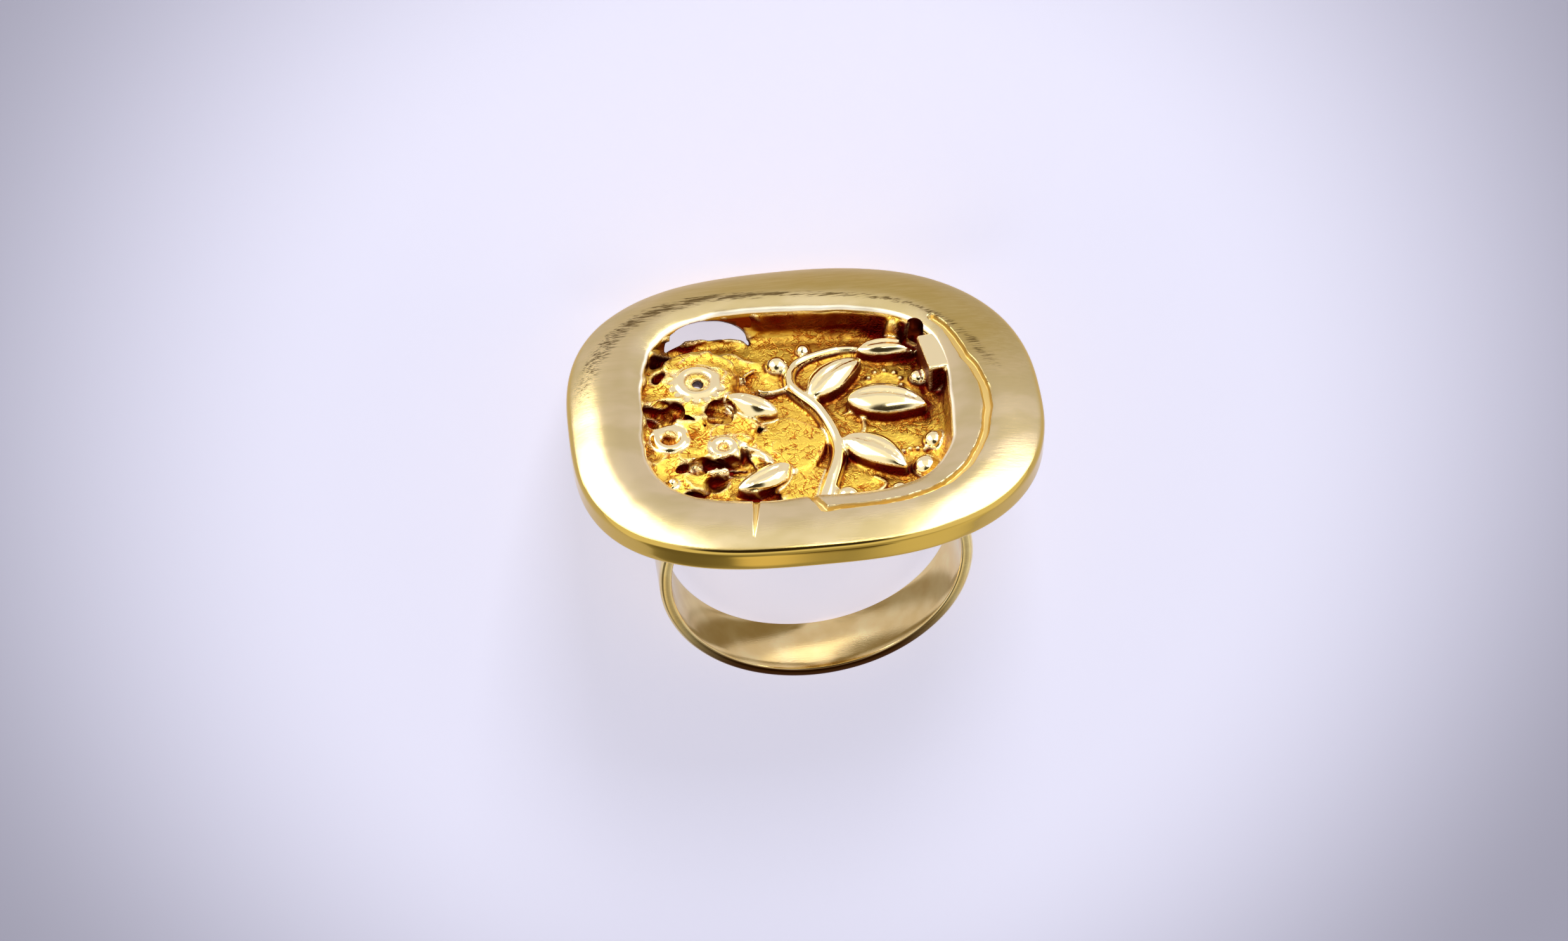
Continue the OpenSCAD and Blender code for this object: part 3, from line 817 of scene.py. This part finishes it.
# Tray floor and the lining of the window's wall, with a soft cove between them. Each row of the cove is
# how far out from the window's edge it lies, and a level over the floor. At the right the cove is wider.
lining_edge = rim_window[::4]
lining_out = inwards[::4]
lining_fall = arris_round[::4]
edge_level = WINDOW_LEVEL - CAMBER * (lining_edge[:, 0] / PLATE_REACH["left"]) ** 2 - lining_fall
slab_outline = [tuple(p) for p in (lining_edge + 0.4 * lining_out)[:-1]]
slab = drawn("tray", leaning_solid(slab_outline, 0, 0, TRAY_UNDERSIDE - 0.4, FLOOR_LEVEL))
pour(mould, slab.data)
COVE = [(-0.62, -0.2), (-0.5, 0.03), (-0.3, 0.1), (-0.15, 0.26), (-0.07, 0.5)]
SLOPE = [(-180, 0), (-75, 0), (-45, 1.2), (-20, 1.6), (8, 1.4), (20, 0), (180, 0)]
slope = 1 + by_angle(SLOPE)[::4]
cove = [(grow * slope, FLOOR_LEVEL + up * slope) for grow, up in COVE]
cove += [(-0.045, edge_level - 0.2), (-0.03, edge_level - 0.08), (0.03, edge_level - 0.02)]
cove += [(0.4, edge_level - 0.04), (0.4, FLOOR_LEVEL - 0.2 + 0 * edge_level)]
cove += [cove[0]]
lining = np.array(
    [np.column_stack([lining_edge + np.reshape(grow, (-1, 1)) * lining_out, level]) for grow, level in cove]
)
lining[:, -1] = lining[:, 0]
pour(mould, draw_grid("lining", lining))

for x, y, radius, tall in SHELF:
    pour(mould, shelf_mesh(radius, tall), in_tray(x, y))
x, y, radius, tall = KNOB
pour(mould, ball_mesh(radius, tall), in_tray(x, y))
for shape in (mould, raised):
    pour(shape, stem_mesh(STEM, FLOOR_LEVEL))
    for rows in TENDRILS:
        pour(shape, stem_mesh(rows, FLOOR_LEVEL))
    for x, y, turn, length, width, tall in LEAVES:
        pour(shape, leaf_mesh(length, width, tall), in_tray(x, y, turn=turn))
    for x, y, radius, tall in BERRIES:
        pour(shape, ball_mesh(radius, tall), in_tray(x, y))
    for x, y, lip, hollow, tall in CUPS:
        pour(shape, cup_mesh(lip, hollow, tall), in_tray(x, y))
    for x, y, radius, first, last, count, up in BEAD_ROWS:
        for turn in np.radians(np.linspace(first, last, count)):
            spot = in_tray(x + radius * math.cos(turn), y + radius * math.sin(turn), up)
            pour(shape, ball_mesh(BEAD, BEAD, 2), spot)
    x, y, length, width, turn = LUG
    where = Matrix.Translation((x, y, 0)) @ Matrix.Rotation(math.radians(turn), 4, "Z")
    pour(shape, block_mesh(length, width, TRAY_UNDERSIDE, WINDOW_LEVEL - 0.02), where)
casting = drawn("window_casting", mould)
with_modifier(casting, "REMESH", mode="VOXEL", voxel_size=VOXEL)

# The openings, the pits and the undercuts are taken out of the cast. Each pit is a place, a height over
# the floor, a reach along, across and up, and a turn.
PITS = [
    (-5.2, 1.2, 0.9, 0.95, 0.95, 0.65, 0),
    (-8.6, 1.4, 1.1, 1.4, 1.1, 1.1, 20),
    (-7.2, 0.8, 0.7, 1.3, 0.5, 0.5, -20),
    (-6.9, -2.9, 0.9, 1.3, 0.62, 0.8, 10),
    (-4.6, -2.9, 0.5, 2.2, 0.58, 0.8, -10),
    (-7.0, -5.0, 0.4, 1.6, 0.42, 0.5, -8),
    (-3.3, 3.4, 0.5, 0.55, 0.9, 0.5, 20),
    (-3.9, -0.2, 0.35, 1.3, 0.33, 0.35, 14),
    (-1.0, -6.6, 0.2, 1.0, 0.4, 0.3, 0),
    (-8.4, 4.4, 1.2, 0.6, 0.4, 0.7, 40),
]
for x, y, up, reach_x, reach_y, reach_z, turn in PITS:
    ball = ball_mesh(1.0, 1.0)
    ball.transform(in_tray(x, y, up, turn) @ Matrix.Diagonal((reach_x, reach_y, reach_z, 1)))
    cutters.append(new_object("pit", ball))
for tool in cutters:
    cut_out(casting, tool)
with_modifier(casting, "REMESH", mode="VOXEL", voxel_size=VOXEL)
for tool in cutters:
    bpy.data.objects.remove(tool)
bm = bmesh.new()
bm.from_mesh(casting.data)
for _ in range(2):
    bmesh.ops.smooth_vert(bm, verts=bm.verts, factor=0.5, use_axis_x=True, use_axis_y=True, use_axis_z=True)
bm.to_mesh(casting.data)
bm.free()

# What doesn't lie in the window is trimmed off, which leaves the hidden sides and the underside flat
floor_outline = [tuple(p) for p in (lining_edge + 0.1 * lining_out)[:-1]]
keep = drawn("keep", leaning_solid(floor_outline, 0, 0, TRAY_UNDERSIDE, WINDOW_LEVEL + 1))
with_modifier(casting, "BOOLEAN", operation="INTERSECT", object=keep, solver="MANIFOLD")
bpy.data.objects.remove(keep)


def numbers(items, name, width=3):
    """One property of all of a mesh's parts, as rows of numbers."""
    flat = np.zeros(len(items) * width, np.float32)
    items.foreach_get(name, flat)
    return flat.reshape(-1, width).astype(float)


# How close each point is to a raised form, which is polished on its upper side
points = numbers(casting.data.vertices, "co")
normals = numbers(casting.data.vertex_normals, "vector")
near_raised = BVHTree.FromBMesh(raised)
raised.free()
FAR_OFF = 0.5
gap = np.full(len(points), FAR_OFF)
for i in np.nonzero(points[:, 2] > FLOOR_LEVEL + 0.08)[0]:
    found = near_raised.find_nearest(Vector(points[i]), FAR_OFF)[3]
    gap[i] = FAR_OFF if found is None else found
up_level = points[:, 2] - FLOOR_LEVEL
polish = 1 - smooth_step(0.05, 0.17, gap)
polish *= smooth_step(0.12, 0.45, normals[:, 2]) * smooth_step(0.15, 0.35, up_level)

# The cast skin: soft waves on the floor, and crumpled, clotted metal on the shelf
FLOOR_WAVE = 0.03
FLOOR_GRAIN = 0.016
SHELF_CLOTS = 0.27
SHELF_CRUMBS = 0.08
SHELF_SLANT = 0.7
rugged = smooth_step(-1.2, -3.4, points[:, 0] + 0.9 * ripple(points[:, 0], points[:, 1], 1.6, 50.0))
rugged *= (1 - polish) * (up_level > -0.2)
lean_x = points[:, 0] + SHELF_SLANT * points[:, 2]
lean_y = points[:, 1] + SHELF_SLANT * points[:, 2]
rough = FLOOR_WAVE * ripple(points[:, 0], points[:, 1], 1.9, 51.0)
rough += FLOOR_GRAIN * ripple(points[:, 0], points[:, 1], 0.6, 52.0)
clots = 1 - 2 * np.abs(ripple(lean_x, lean_y, 1.7, 53.0))
crumbs = ripple(lean_x, lean_y, 0.6, 54.0)
rough += rugged * (SHELF_CLOTS * (clots - 0.5) + SHELF_CRUMBS * crumbs)
rough *= (1 - 0.92 * polish) * (up_level > -0.3)
points += normals * rough[:, None]
casting.data.vertices.foreach_set("co", points.astype(np.float32).ravel())
casting.data.update()
normals = numbers(casting.data.vertex_normals, "vector")

# Creases, where the surface folds inwards and takes a painted shade, and rubbed ridges, where it folds
# outwards
ends = numbers(casting.data.edges, "vertices", 2).astype(int)
pull = np.zeros_like(points)
count = np.zeros(len(points))
for near, far in ((0, 1), (1, 0)):
    np.add.at(pull, ends[:, near], points[ends[:, far]])
    np.add.at(count, ends[:, near], 1)
fold = np.einsum("ij,ij->i", pull / count[:, None] - points, normals) / VOXEL
for _ in range(2):
    spread = np.zeros(len(points))
    for near, far in ((0, 1), (1, 0)):
        np.add.at(spread, ends[:, near], fold[ends[:, far]])
    fold = 0.4 * fold + 0.6 * spread / count

# How open each point is to the light, found with rays, for the painted shade in the hollows
RAYS = 20
OPEN_REACH = 3.5
OFF_SKIN = 0.05
whole = bmesh.new()
whole.from_mesh(casting.data)
casting_bvh = BVHTree.FromBMesh(whole)
whole.free()
golden = math.pi * (3 - math.sqrt(5))
spokes = []
for i in range(RAYS):
    up = 1 - (i + 0.5) / RAYS
    out = math.sqrt(1 - up * up)
    spokes.append(Vector((out * math.cos(golden * i), out * math.sin(golden * i), up)))
sky = sum(spoke.z for spoke in spokes)
openness = np.zeros(len(points))
for i in np.nonzero(points[:, 2] > FLOOR_LEVEL - 0.3)[0]:
    normal = Vector(normals[i])
    origin = Vector(points[i]) + normal * OFF_SKIN
    for spoke in spokes:
        slant = normal.dot(spoke)
        if slant > 0 and casting_bvh.ray_cast(origin, spoke, OPEN_REACH)[0] is None:
            openness[i] += slant / sky
underside = points[:, 2] < TRAY_UNDERSIDE + 0.02
marks = (
    ("polish", np.where(underside, 1, polish)),
    ("open", np.where(underside, 1, smooth_step(0.28, 0.95, openness))),
    ("crease", np.where(underside, 0, smooth_step(0.02, 0.14, fold))),
    ("ridge", np.where(underside, 0, smooth_step(0.02, 0.12, -fold))),
)
for mark, values in marks:
    write_mark(casting.data, mark, values)

POLISHED = (0.91, 0.75, 0.38, 1)
CAST_YELLOW = (0.84, 0.57, 0.075, 1)
# A brown for stains and for painted shade, and a deep red for painted shade in the hollows
STAIN_AND_SHADE_BROWN = (0.38, 0.11, 0.008, 1)
HOLLOW_SHADE_RED = (0.11, 0.003, 0.001, 1)
IN_MILLIMETRES = (1000.0, 1000.0, 1000.0)
DENT_DEPTH = 0.00008

cast_gold = Finish(bpy.data.materials.new("cast_gold"))
polished_mark = cast_gold.mark("polish")
opened = cast_gold.mark("open")
crease = cast_gold.mark("crease")
pebbles = cast_gold.grain(IN_MILLIMETRES, 4.0, 4.0, 0.6)
crinkle = cast_gold.grain(IN_MILLIMETRES, 1.0, 3.0, 0.55, 1.0)
crinkle = 1 - ((crinkle - 0.5) * 20).distance().between(0.0, 1.0)
broken = cast_gold.grain(IN_MILLIMETRES, 0.9, 2.0, 0.5)
wrinkle = cast_gold.grain(IN_MILLIMETRES, 1.9, 2.0, 0.5, 0.8)
wrinkle = 1 - ((wrinkle - 0.5) * 16).distance().between(0.0, 1.0)
crinkle = (crinkle + 0.9 * wrinkle) * broken.between(0.34, 0.52)
stain = cast_gold.grain(IN_MILLIMETRES, 0.8, 4.0, 0.6)
# Painted shade: places less open to the light are darkened towards brown, with real stains mixed in
shaded = (opened + 0.55 * (stain - 0.5)).between(0.12, 1.0)
colour = cast_gold.mix(shaded, STAIN_AND_SHADE_BROWN, CAST_YELLOW)
# Creases take a painted brown shade, and the wrinkles of the cast skin brown lines
colour = cast_gold.mix((crease * 0.75 + 0.8 * crinkle).between(0.0, 1.1), colour, STAIN_AND_SHADE_BROWN)
# Painted shade: the least open hollows go deep red, near black
colour = cast_gold.mix((opened + 0.3 * (stain - 0.5)).between(0.1, 0.58), HOLLOW_SHADE_RED, colour)
lustre = polished_mark * (1 - crease * 0.9)
colour = cast_gold.mix(lustre, colour, POLISHED)
colour = cast_gold.mix(cast_gold.mark("ridge") * 0.5, colour, POLISHED)
shine = 0.42 - 0.3 * lustre
dents = cast_gold.bump((pebbles - crinkle * 0.5) * (1 - lustre), DENT_DEPTH, 0.7)
cast_gold.cover(casting, Base_Color=colour, Metallic=1.0, Roughness=shine, Normal=dents)
casting.data.transform(plate_fit)
lay_on_floor(casting)

# The shank: a plain band, bent round, and the saddle that fills the corner between it and the plate.
# Both are soldered on and polished, and the saddle is drawn with the band because they share its edge.

FINGER_RADIUS = 8.7
BAND_THICK = 0.73
BAND_WIDTH = 3.87
OUTER_ROUND = 0.26
INNER_ROUND = 0.14
BAND_STEPS = 540
HAMMERED = 0.012


def arc(centre, radius, start, stop, steps):
    """Points along an arc, between two angles in degrees."""
    return [
        (centre[0] + radius * math.cos(a), centre[1] + radius * math.sin(a))
        for a in np.radians(np.linspace(start, stop, steps))
    ]


half = BAND_WIDTH / 2
outer_radius = FINGER_RADIUS + BAND_THICK
section = arc((FINGER_RADIUS + INNER_ROUND, half - INNER_ROUND), INNER_ROUND, 180, 90, 5)
section += arc((outer_radius - OUTER_ROUND, half - OUTER_ROUND), OUTER_ROUND, 90, 0, 8)
section += arc((outer_radius - OUTER_ROUND, -half + OUTER_ROUND), OUTER_ROUND, 0, -90, 8)
section += arc((FINGER_RADIUS + INNER_ROUND, -half + INNER_ROUND), INNER_ROUND, -90, -180, 5)
flats = []
for a, b in zip(section, section[1:] + section[:1]):
    steps = 8 if math.dist(a, b) > 1 else 1
    flats += [(a[0] + (b[0] - a[0]) * t / steps, a[1] + (b[1] - a[1]) * t / steps) for t in range(steps)]
bm = bmesh.new()
verts = [bm.verts.new((r, y, 0)) for r, y in flats]
edges = [bm.edges.new((a, b)) for a, b in zip(verts, verts[1:] + verts[:1])]
whole_turn = {"cent": (0, 0, 0), "axis": (0, 1, 0), "angle": 2 * math.pi, "steps": BAND_STEPS}
bmesh.ops.spin(bm, geom=verts + edges, use_merge=True, **whole_turn)
bmesh.ops.remove_doubles(bm, verts=bm.verts, dist=1e-4)
bmesh.ops.recalc_face_normals(bm, faces=bm.faces)
for vert in bm.verts:
    spot = vert.co
    around_band = math.atan2(spot.z, spot.x) * FINGER_RADIUS
    hammered = HAMMERED * noise.noise(Vector((around_band / 2.2, spot.y / 3.0, 61.0)))
    vert.co = spot + Vector((spot.x, 0, spot.z)).normalized() * hammered
shank = drawn("shank", bm)

SADDLE_HALF = 6.6
SADDLE_FOOT = 6.2
SADDLE_TOP = TRAY_UNDERSIDE + 0.3
SADDLE_INSET = 0.12
SADDLE_SINK = 0.25
SADDLE_BEVEL = 0.08
BEVEL_OVER = math.radians(30)
side = [(SADDLE_FOOT, 6.9), (SADDLE_FOOT + 0.12, 8.2), (SADDLE_HALF - 0.12, 8.9)]
side += [(SADDLE_HALF + 0.15, TRAY_UNDERSIDE), (SADDLE_HALF + 0.2, SADDLE_TOP)]
lower_arc = arc((0, 0), FINGER_RADIUS + SADDLE_SINK, 47, 133, 48)
outline = lower_arc + [(-x, z) for x, z in side] + side[::-1]
bm = bmesh.new()
face = bm.faces.new([bm.verts.new((x, -half + SADDLE_INSET, z)) for x, z in outline])
moved = pull_out(bm, [face])
bmesh.ops.translate(bm, verts=moved, vec=(0, BAND_WIDTH - 2 * SADDLE_INSET, 0))
bmesh.ops.recalc_face_normals(bm, faces=bm.faces)
corners = [edge for edge in bm.edges if edge.calc_face_angle(0) > BEVEL_OVER]
rounding = {"offset": SADDLE_BEVEL, "segments": 2, "profile": 0.5, "material": -1, "clamp_overlap": True}
bmesh.ops.bevel(bm, geom=corners, affect="EDGES", **rounding)
saddle = drawn("saddle", bm)

BAND_GOLD = (0.78, 0.58, 0.24, 1)
EDGE_DARK_REFLECTION = (0.07, 0.022, 0.003, 1)
HAIRLINES = (900.0, 14000.0, 14000.0)
HAIRLINE_DEPTH = 0.000004
polished = Finish(bpy.data.materials.new("polished_gold"))
cloud = polished.grain(IN_MILLIMETRES, 0.5, 3.0)
hairlines = polished.grain(HAIRLINES, 1.0, 3.0, 0.6)
colour = polished.mix(cloud.between(0.3, 0.8), BAND_GOLD, POLISHED)
# Painted dark reflection on the band's front edge
colour = polished.mix(polished.mark("edge"), colour, EDGE_DARK_REFLECTION)
worn = polished.bump(hairlines, HAIRLINE_DEPTH, 0.5)
shine = 0.07 + 0.1 * cloud
polished.cover(shank, Base_Color=colour, Metallic=1.0, Roughness=shine, Normal=worn)

# The band's front edge is darkened to a deep brown towards its foot, a painted dark reflection
spots = numbers(shank.data.vertices, "co")
edge_reflection_mark = smooth_step(half - 0.07, half - 0.02, -spots[:, 1])
edge_reflection_mark *= 0.15 + 0.85 * smooth_step(0.2, 0.85, -spots[:, 2] / outer_radius)
write_mark(shank.data, "edge", edge_reflection_mark)
saddle.data.materials.append(polished.owner)
for piece in (shank, saddle):
    lay_on_floor(piece)

# Floor, light and camera: a sheet of pale lavender paper with a slight glow of its own, in a light tent
# that is open, and so darker, towards the camera and the back of the room. Panels stand in it as bright
# reflections in the metal, and two lamps light the paper alone.

FLOOR_RADIUS = 1.6
FLOOR_MIDDLE = (0.8, 0.785, 0.94, 1)
FLOOR_EDGE = (0.36, 0.35, 0.43, 1)
FLOOR_IN_BAND = (0.28, 0.23, 0.16, 1)
FLOOR_GLOW = 0.67
DARKER_FROM = 0.028
DARKEST_FROM = 0.06
bm = bmesh.new()
bmesh.ops.create_circle(bm, cap_ends=True, segments=96, radius=FLOOR_RADIUS)
floor = drawn("floor", bm)
paper = Finish(bpy.data.materials.new("pale_paper"))
from_middle = paper.node("VectorMath", {"operation": "LENGTH"}, (paper.place((1, 1, 1)),), 1)
mirrored = paper.node("LightPath", output="Is Glossy Ray")
# A painted pool of light: the paper darkens away from its middle, though not in reflections
light_falloff = from_middle.between(DARKER_FROM, DARKEST_FROM) * (1 - mirrored)
paper_colour = paper.mix(light_falloff, FLOOR_MIDDLE, FLOOR_EDGE)

# In reflections alone the paper has two darker patches inside the band, with wavering edges
smudge = paper.grain((1000.0, 250.0, 1000.0), 0.7, 2.0, 0.5)
across_band = paper.node("SeparateXYZ", (), (paper.place(IN_MILLIMETRES),))
inside_band = 1 - from_middle.between(0.009, 0.013)
wavering = across_band + 3.0 * (smudge - 0.5)
in_shade = wavering.between(-0.5, 0.6) * (1 - 0.75 * wavering.between(2.5, 4.5))
in_shade = in_shade + 0.8 * (1 - wavering.between(-3.2, -1.8)) * wavering.between(-5.5, -4.2)
paper_colour = paper.mix(in_shade * inside_band * mirrored, paper_colour, FLOOR_IN_BAND)
glowing = {"Emission_Color": paper_colour, "Emission_Strength": FLOOR_GLOW}
paper.cover(floor, Base_Color=paper_colour, Roughness=0.6, Metallic=0.0, Specular_IOR_Level=0.0, **glowing)


def direction(azimuth, elevation):
    """Unit vector from the ring, by degrees. At azimuth 0 it points to the front, and at 90 along X."""
    turn, rise = math.radians(azimuth), math.radians(elevation)
    return Vector((math.sin(turn) * math.cos(rise), -math.cos(turn) * math.cos(rise), math.sin(rise)))


# Each gap in the tent is an azimuth, an elevation, how far from its middle it starts and is full, in
# degrees, and a colour
TENT = (1.1, 1.1, 1.2, 1)
TENT_FLOOR = (0.06, 0.06, 0.062, 1)
GAPS = [
    (14, 69, 27, 15, (0.04, 0.03, 0.02, 1)),
    (180, 12, 62, 35, (0.5, 0.48, 0.42, 1)),
    (148, 22, 30, 10, (0.22, 0.2, 0.15, 1)),
    (-150, 18, 26, 8, (0.95, 0.93, 0.88, 1)),
    (176, 21, 9, 3, (1.1, 1.0, 0.8, 1)),
    (-172, 27, 10, 4, (0.15, 0.12, 0.06, 1)),
]
tent = Finish(bpy.data.worlds.new("light_tent"))
bpy.context.scene.world = tent.owner
towards = tent.node("TexCoord", output="Generated")
glow = TENT
for azimuth, elevation, outer_angle, inner_angle, colour in GAPS:
    aim = tuple(direction(azimuth, elevation))
    facing = tent.node("VectorMath", {"operation": "DOT_PRODUCT"}, (towards, aim), 1)
    inside = facing.between(math.cos(math.radians(outer_angle)), math.cos(math.radians(inner_angle)))
    glow = tent.mix(inside, glow, colour)
on_paper = tent.node("LightPath", output="Is Diffuse Ray")
glow = tent.mix(on_paper, glow, TENT_FLOOR)
background = tent.node("Background", (), {"Color": glow})
tent.node("OutputWorld", (), {"Surface": background})

# Each panel is a centre, the way that it faces and a size, in millimetres, and a brightness. Each lamp is
# an azimuth, an elevation and a brightness.
PANELS = {
    "left_wall": ((40, -45, 26), (0, 1, 0), (44, 52), 4.5),
    "left_floor": ((33, -36, 0.6), (0, 0, 1), (30, 18), 4.5),
    "right_wall": ((-42, -45, 32), (0, 1, 0), (48, 44), 4.5),
    "top_wall": ((-17, -45, 62), (0, 1, 0), (34, 14), 4.5),
    "band_floor": ((-1.3, 3.2, 0.3), (0, 0, 1), (1.5, 4.2), 1.1),
}
PANEL_COLOUR = (0.93, 0.95, 1.0)
LAMPS = {"back_lamp": (172, 55, 1.5), "front_lamp": (-8, 37, 11.5)}
LAMP_DISTANCE = 500
LAMP_SIZE = 160


def panel(name, centre, faces, size, brightness):
    """A lit wall of the tent that shows as a reflection in the metal."""
    data = bpy.data.lights.new(name, "AREA")
    data.shape = "RECTANGLE"
    data.size, data.size_y = size[0] / 1000, size[1] / 1000
    data.energy = brightness * math.pi * data.size * data.size_y
    data.color = PANEL_COLOUR
    made = new_object(name, data)
    made.location = Vector(centre) / 1000
    made.rotation_euler = Vector(faces).to_track_quat("-Z", "Y").to_euler()
    made.visible_camera = made.visible_diffuse = False
    return made


for name, row in PANELS.items():
    panel(name, *row)
for name, (azimuth, elevation, brightness) in LAMPS.items():
    spot = direction(azimuth, elevation) * LAMP_DISTANCE
    lamp = panel(name, spot, -spot, (LAMP_SIZE, LAMP_SIZE), brightness)
    lamp.visible_diffuse = True
    lamp.visible_glossy = False

# The camera looks at the upright ring from the photograph's angle, and is laid down with it
VIEW_RISE = 45.43
VIEW_TURN = -7.11
VIEW_ROLL = math.radians(-1.15)
VIEW_DISTANCE = 242.93
VIEW_OFFSET = (1.712, -4.581)
PHOTO_WIDTH = 2474
SENSOR_WIDTH = 36
PIXELS_PER_MM = 26.366
FOCAL = PIXELS_PER_MM * VIEW_DISTANCE / PHOTO_WIDTH * SENSOR_WIDTH
to_camera = direction(VIEW_TURN, VIEW_RISE)
sideways = Vector((math.cos(math.radians(VIEW_TURN)), math.sin(math.radians(VIEW_TURN)), 0))
upright = to_camera.cross(sideways)
image_right = math.cos(VIEW_ROLL) * sideways + math.sin(VIEW_ROLL) * upright
image_up = math.cos(VIEW_ROLL) * upright - math.sin(VIEW_ROLL) * sideways
stand = VIEW_DISTANCE * to_camera - VIEW_OFFSET[0] * image_right - VIEW_OFFSET[1] * image_up
facing_ring = Matrix((TIPPED @ image_right, TIPPED @ image_up, TIPPED @ to_camera)).transposed()
lens = bpy.data.cameras.new("camera")
lens.lens = FOCAL
lens.sensor_width = SENSOR_WIDTH
camera = new_object("camera", lens)
camera.matrix_world = Matrix.Translation(LAY_DOWN @ stand) @ facing_ring.to_4x4()
bpy.context.scene.camera = camera
bpy.context.scene.view_settings.view_transform = "Standard"
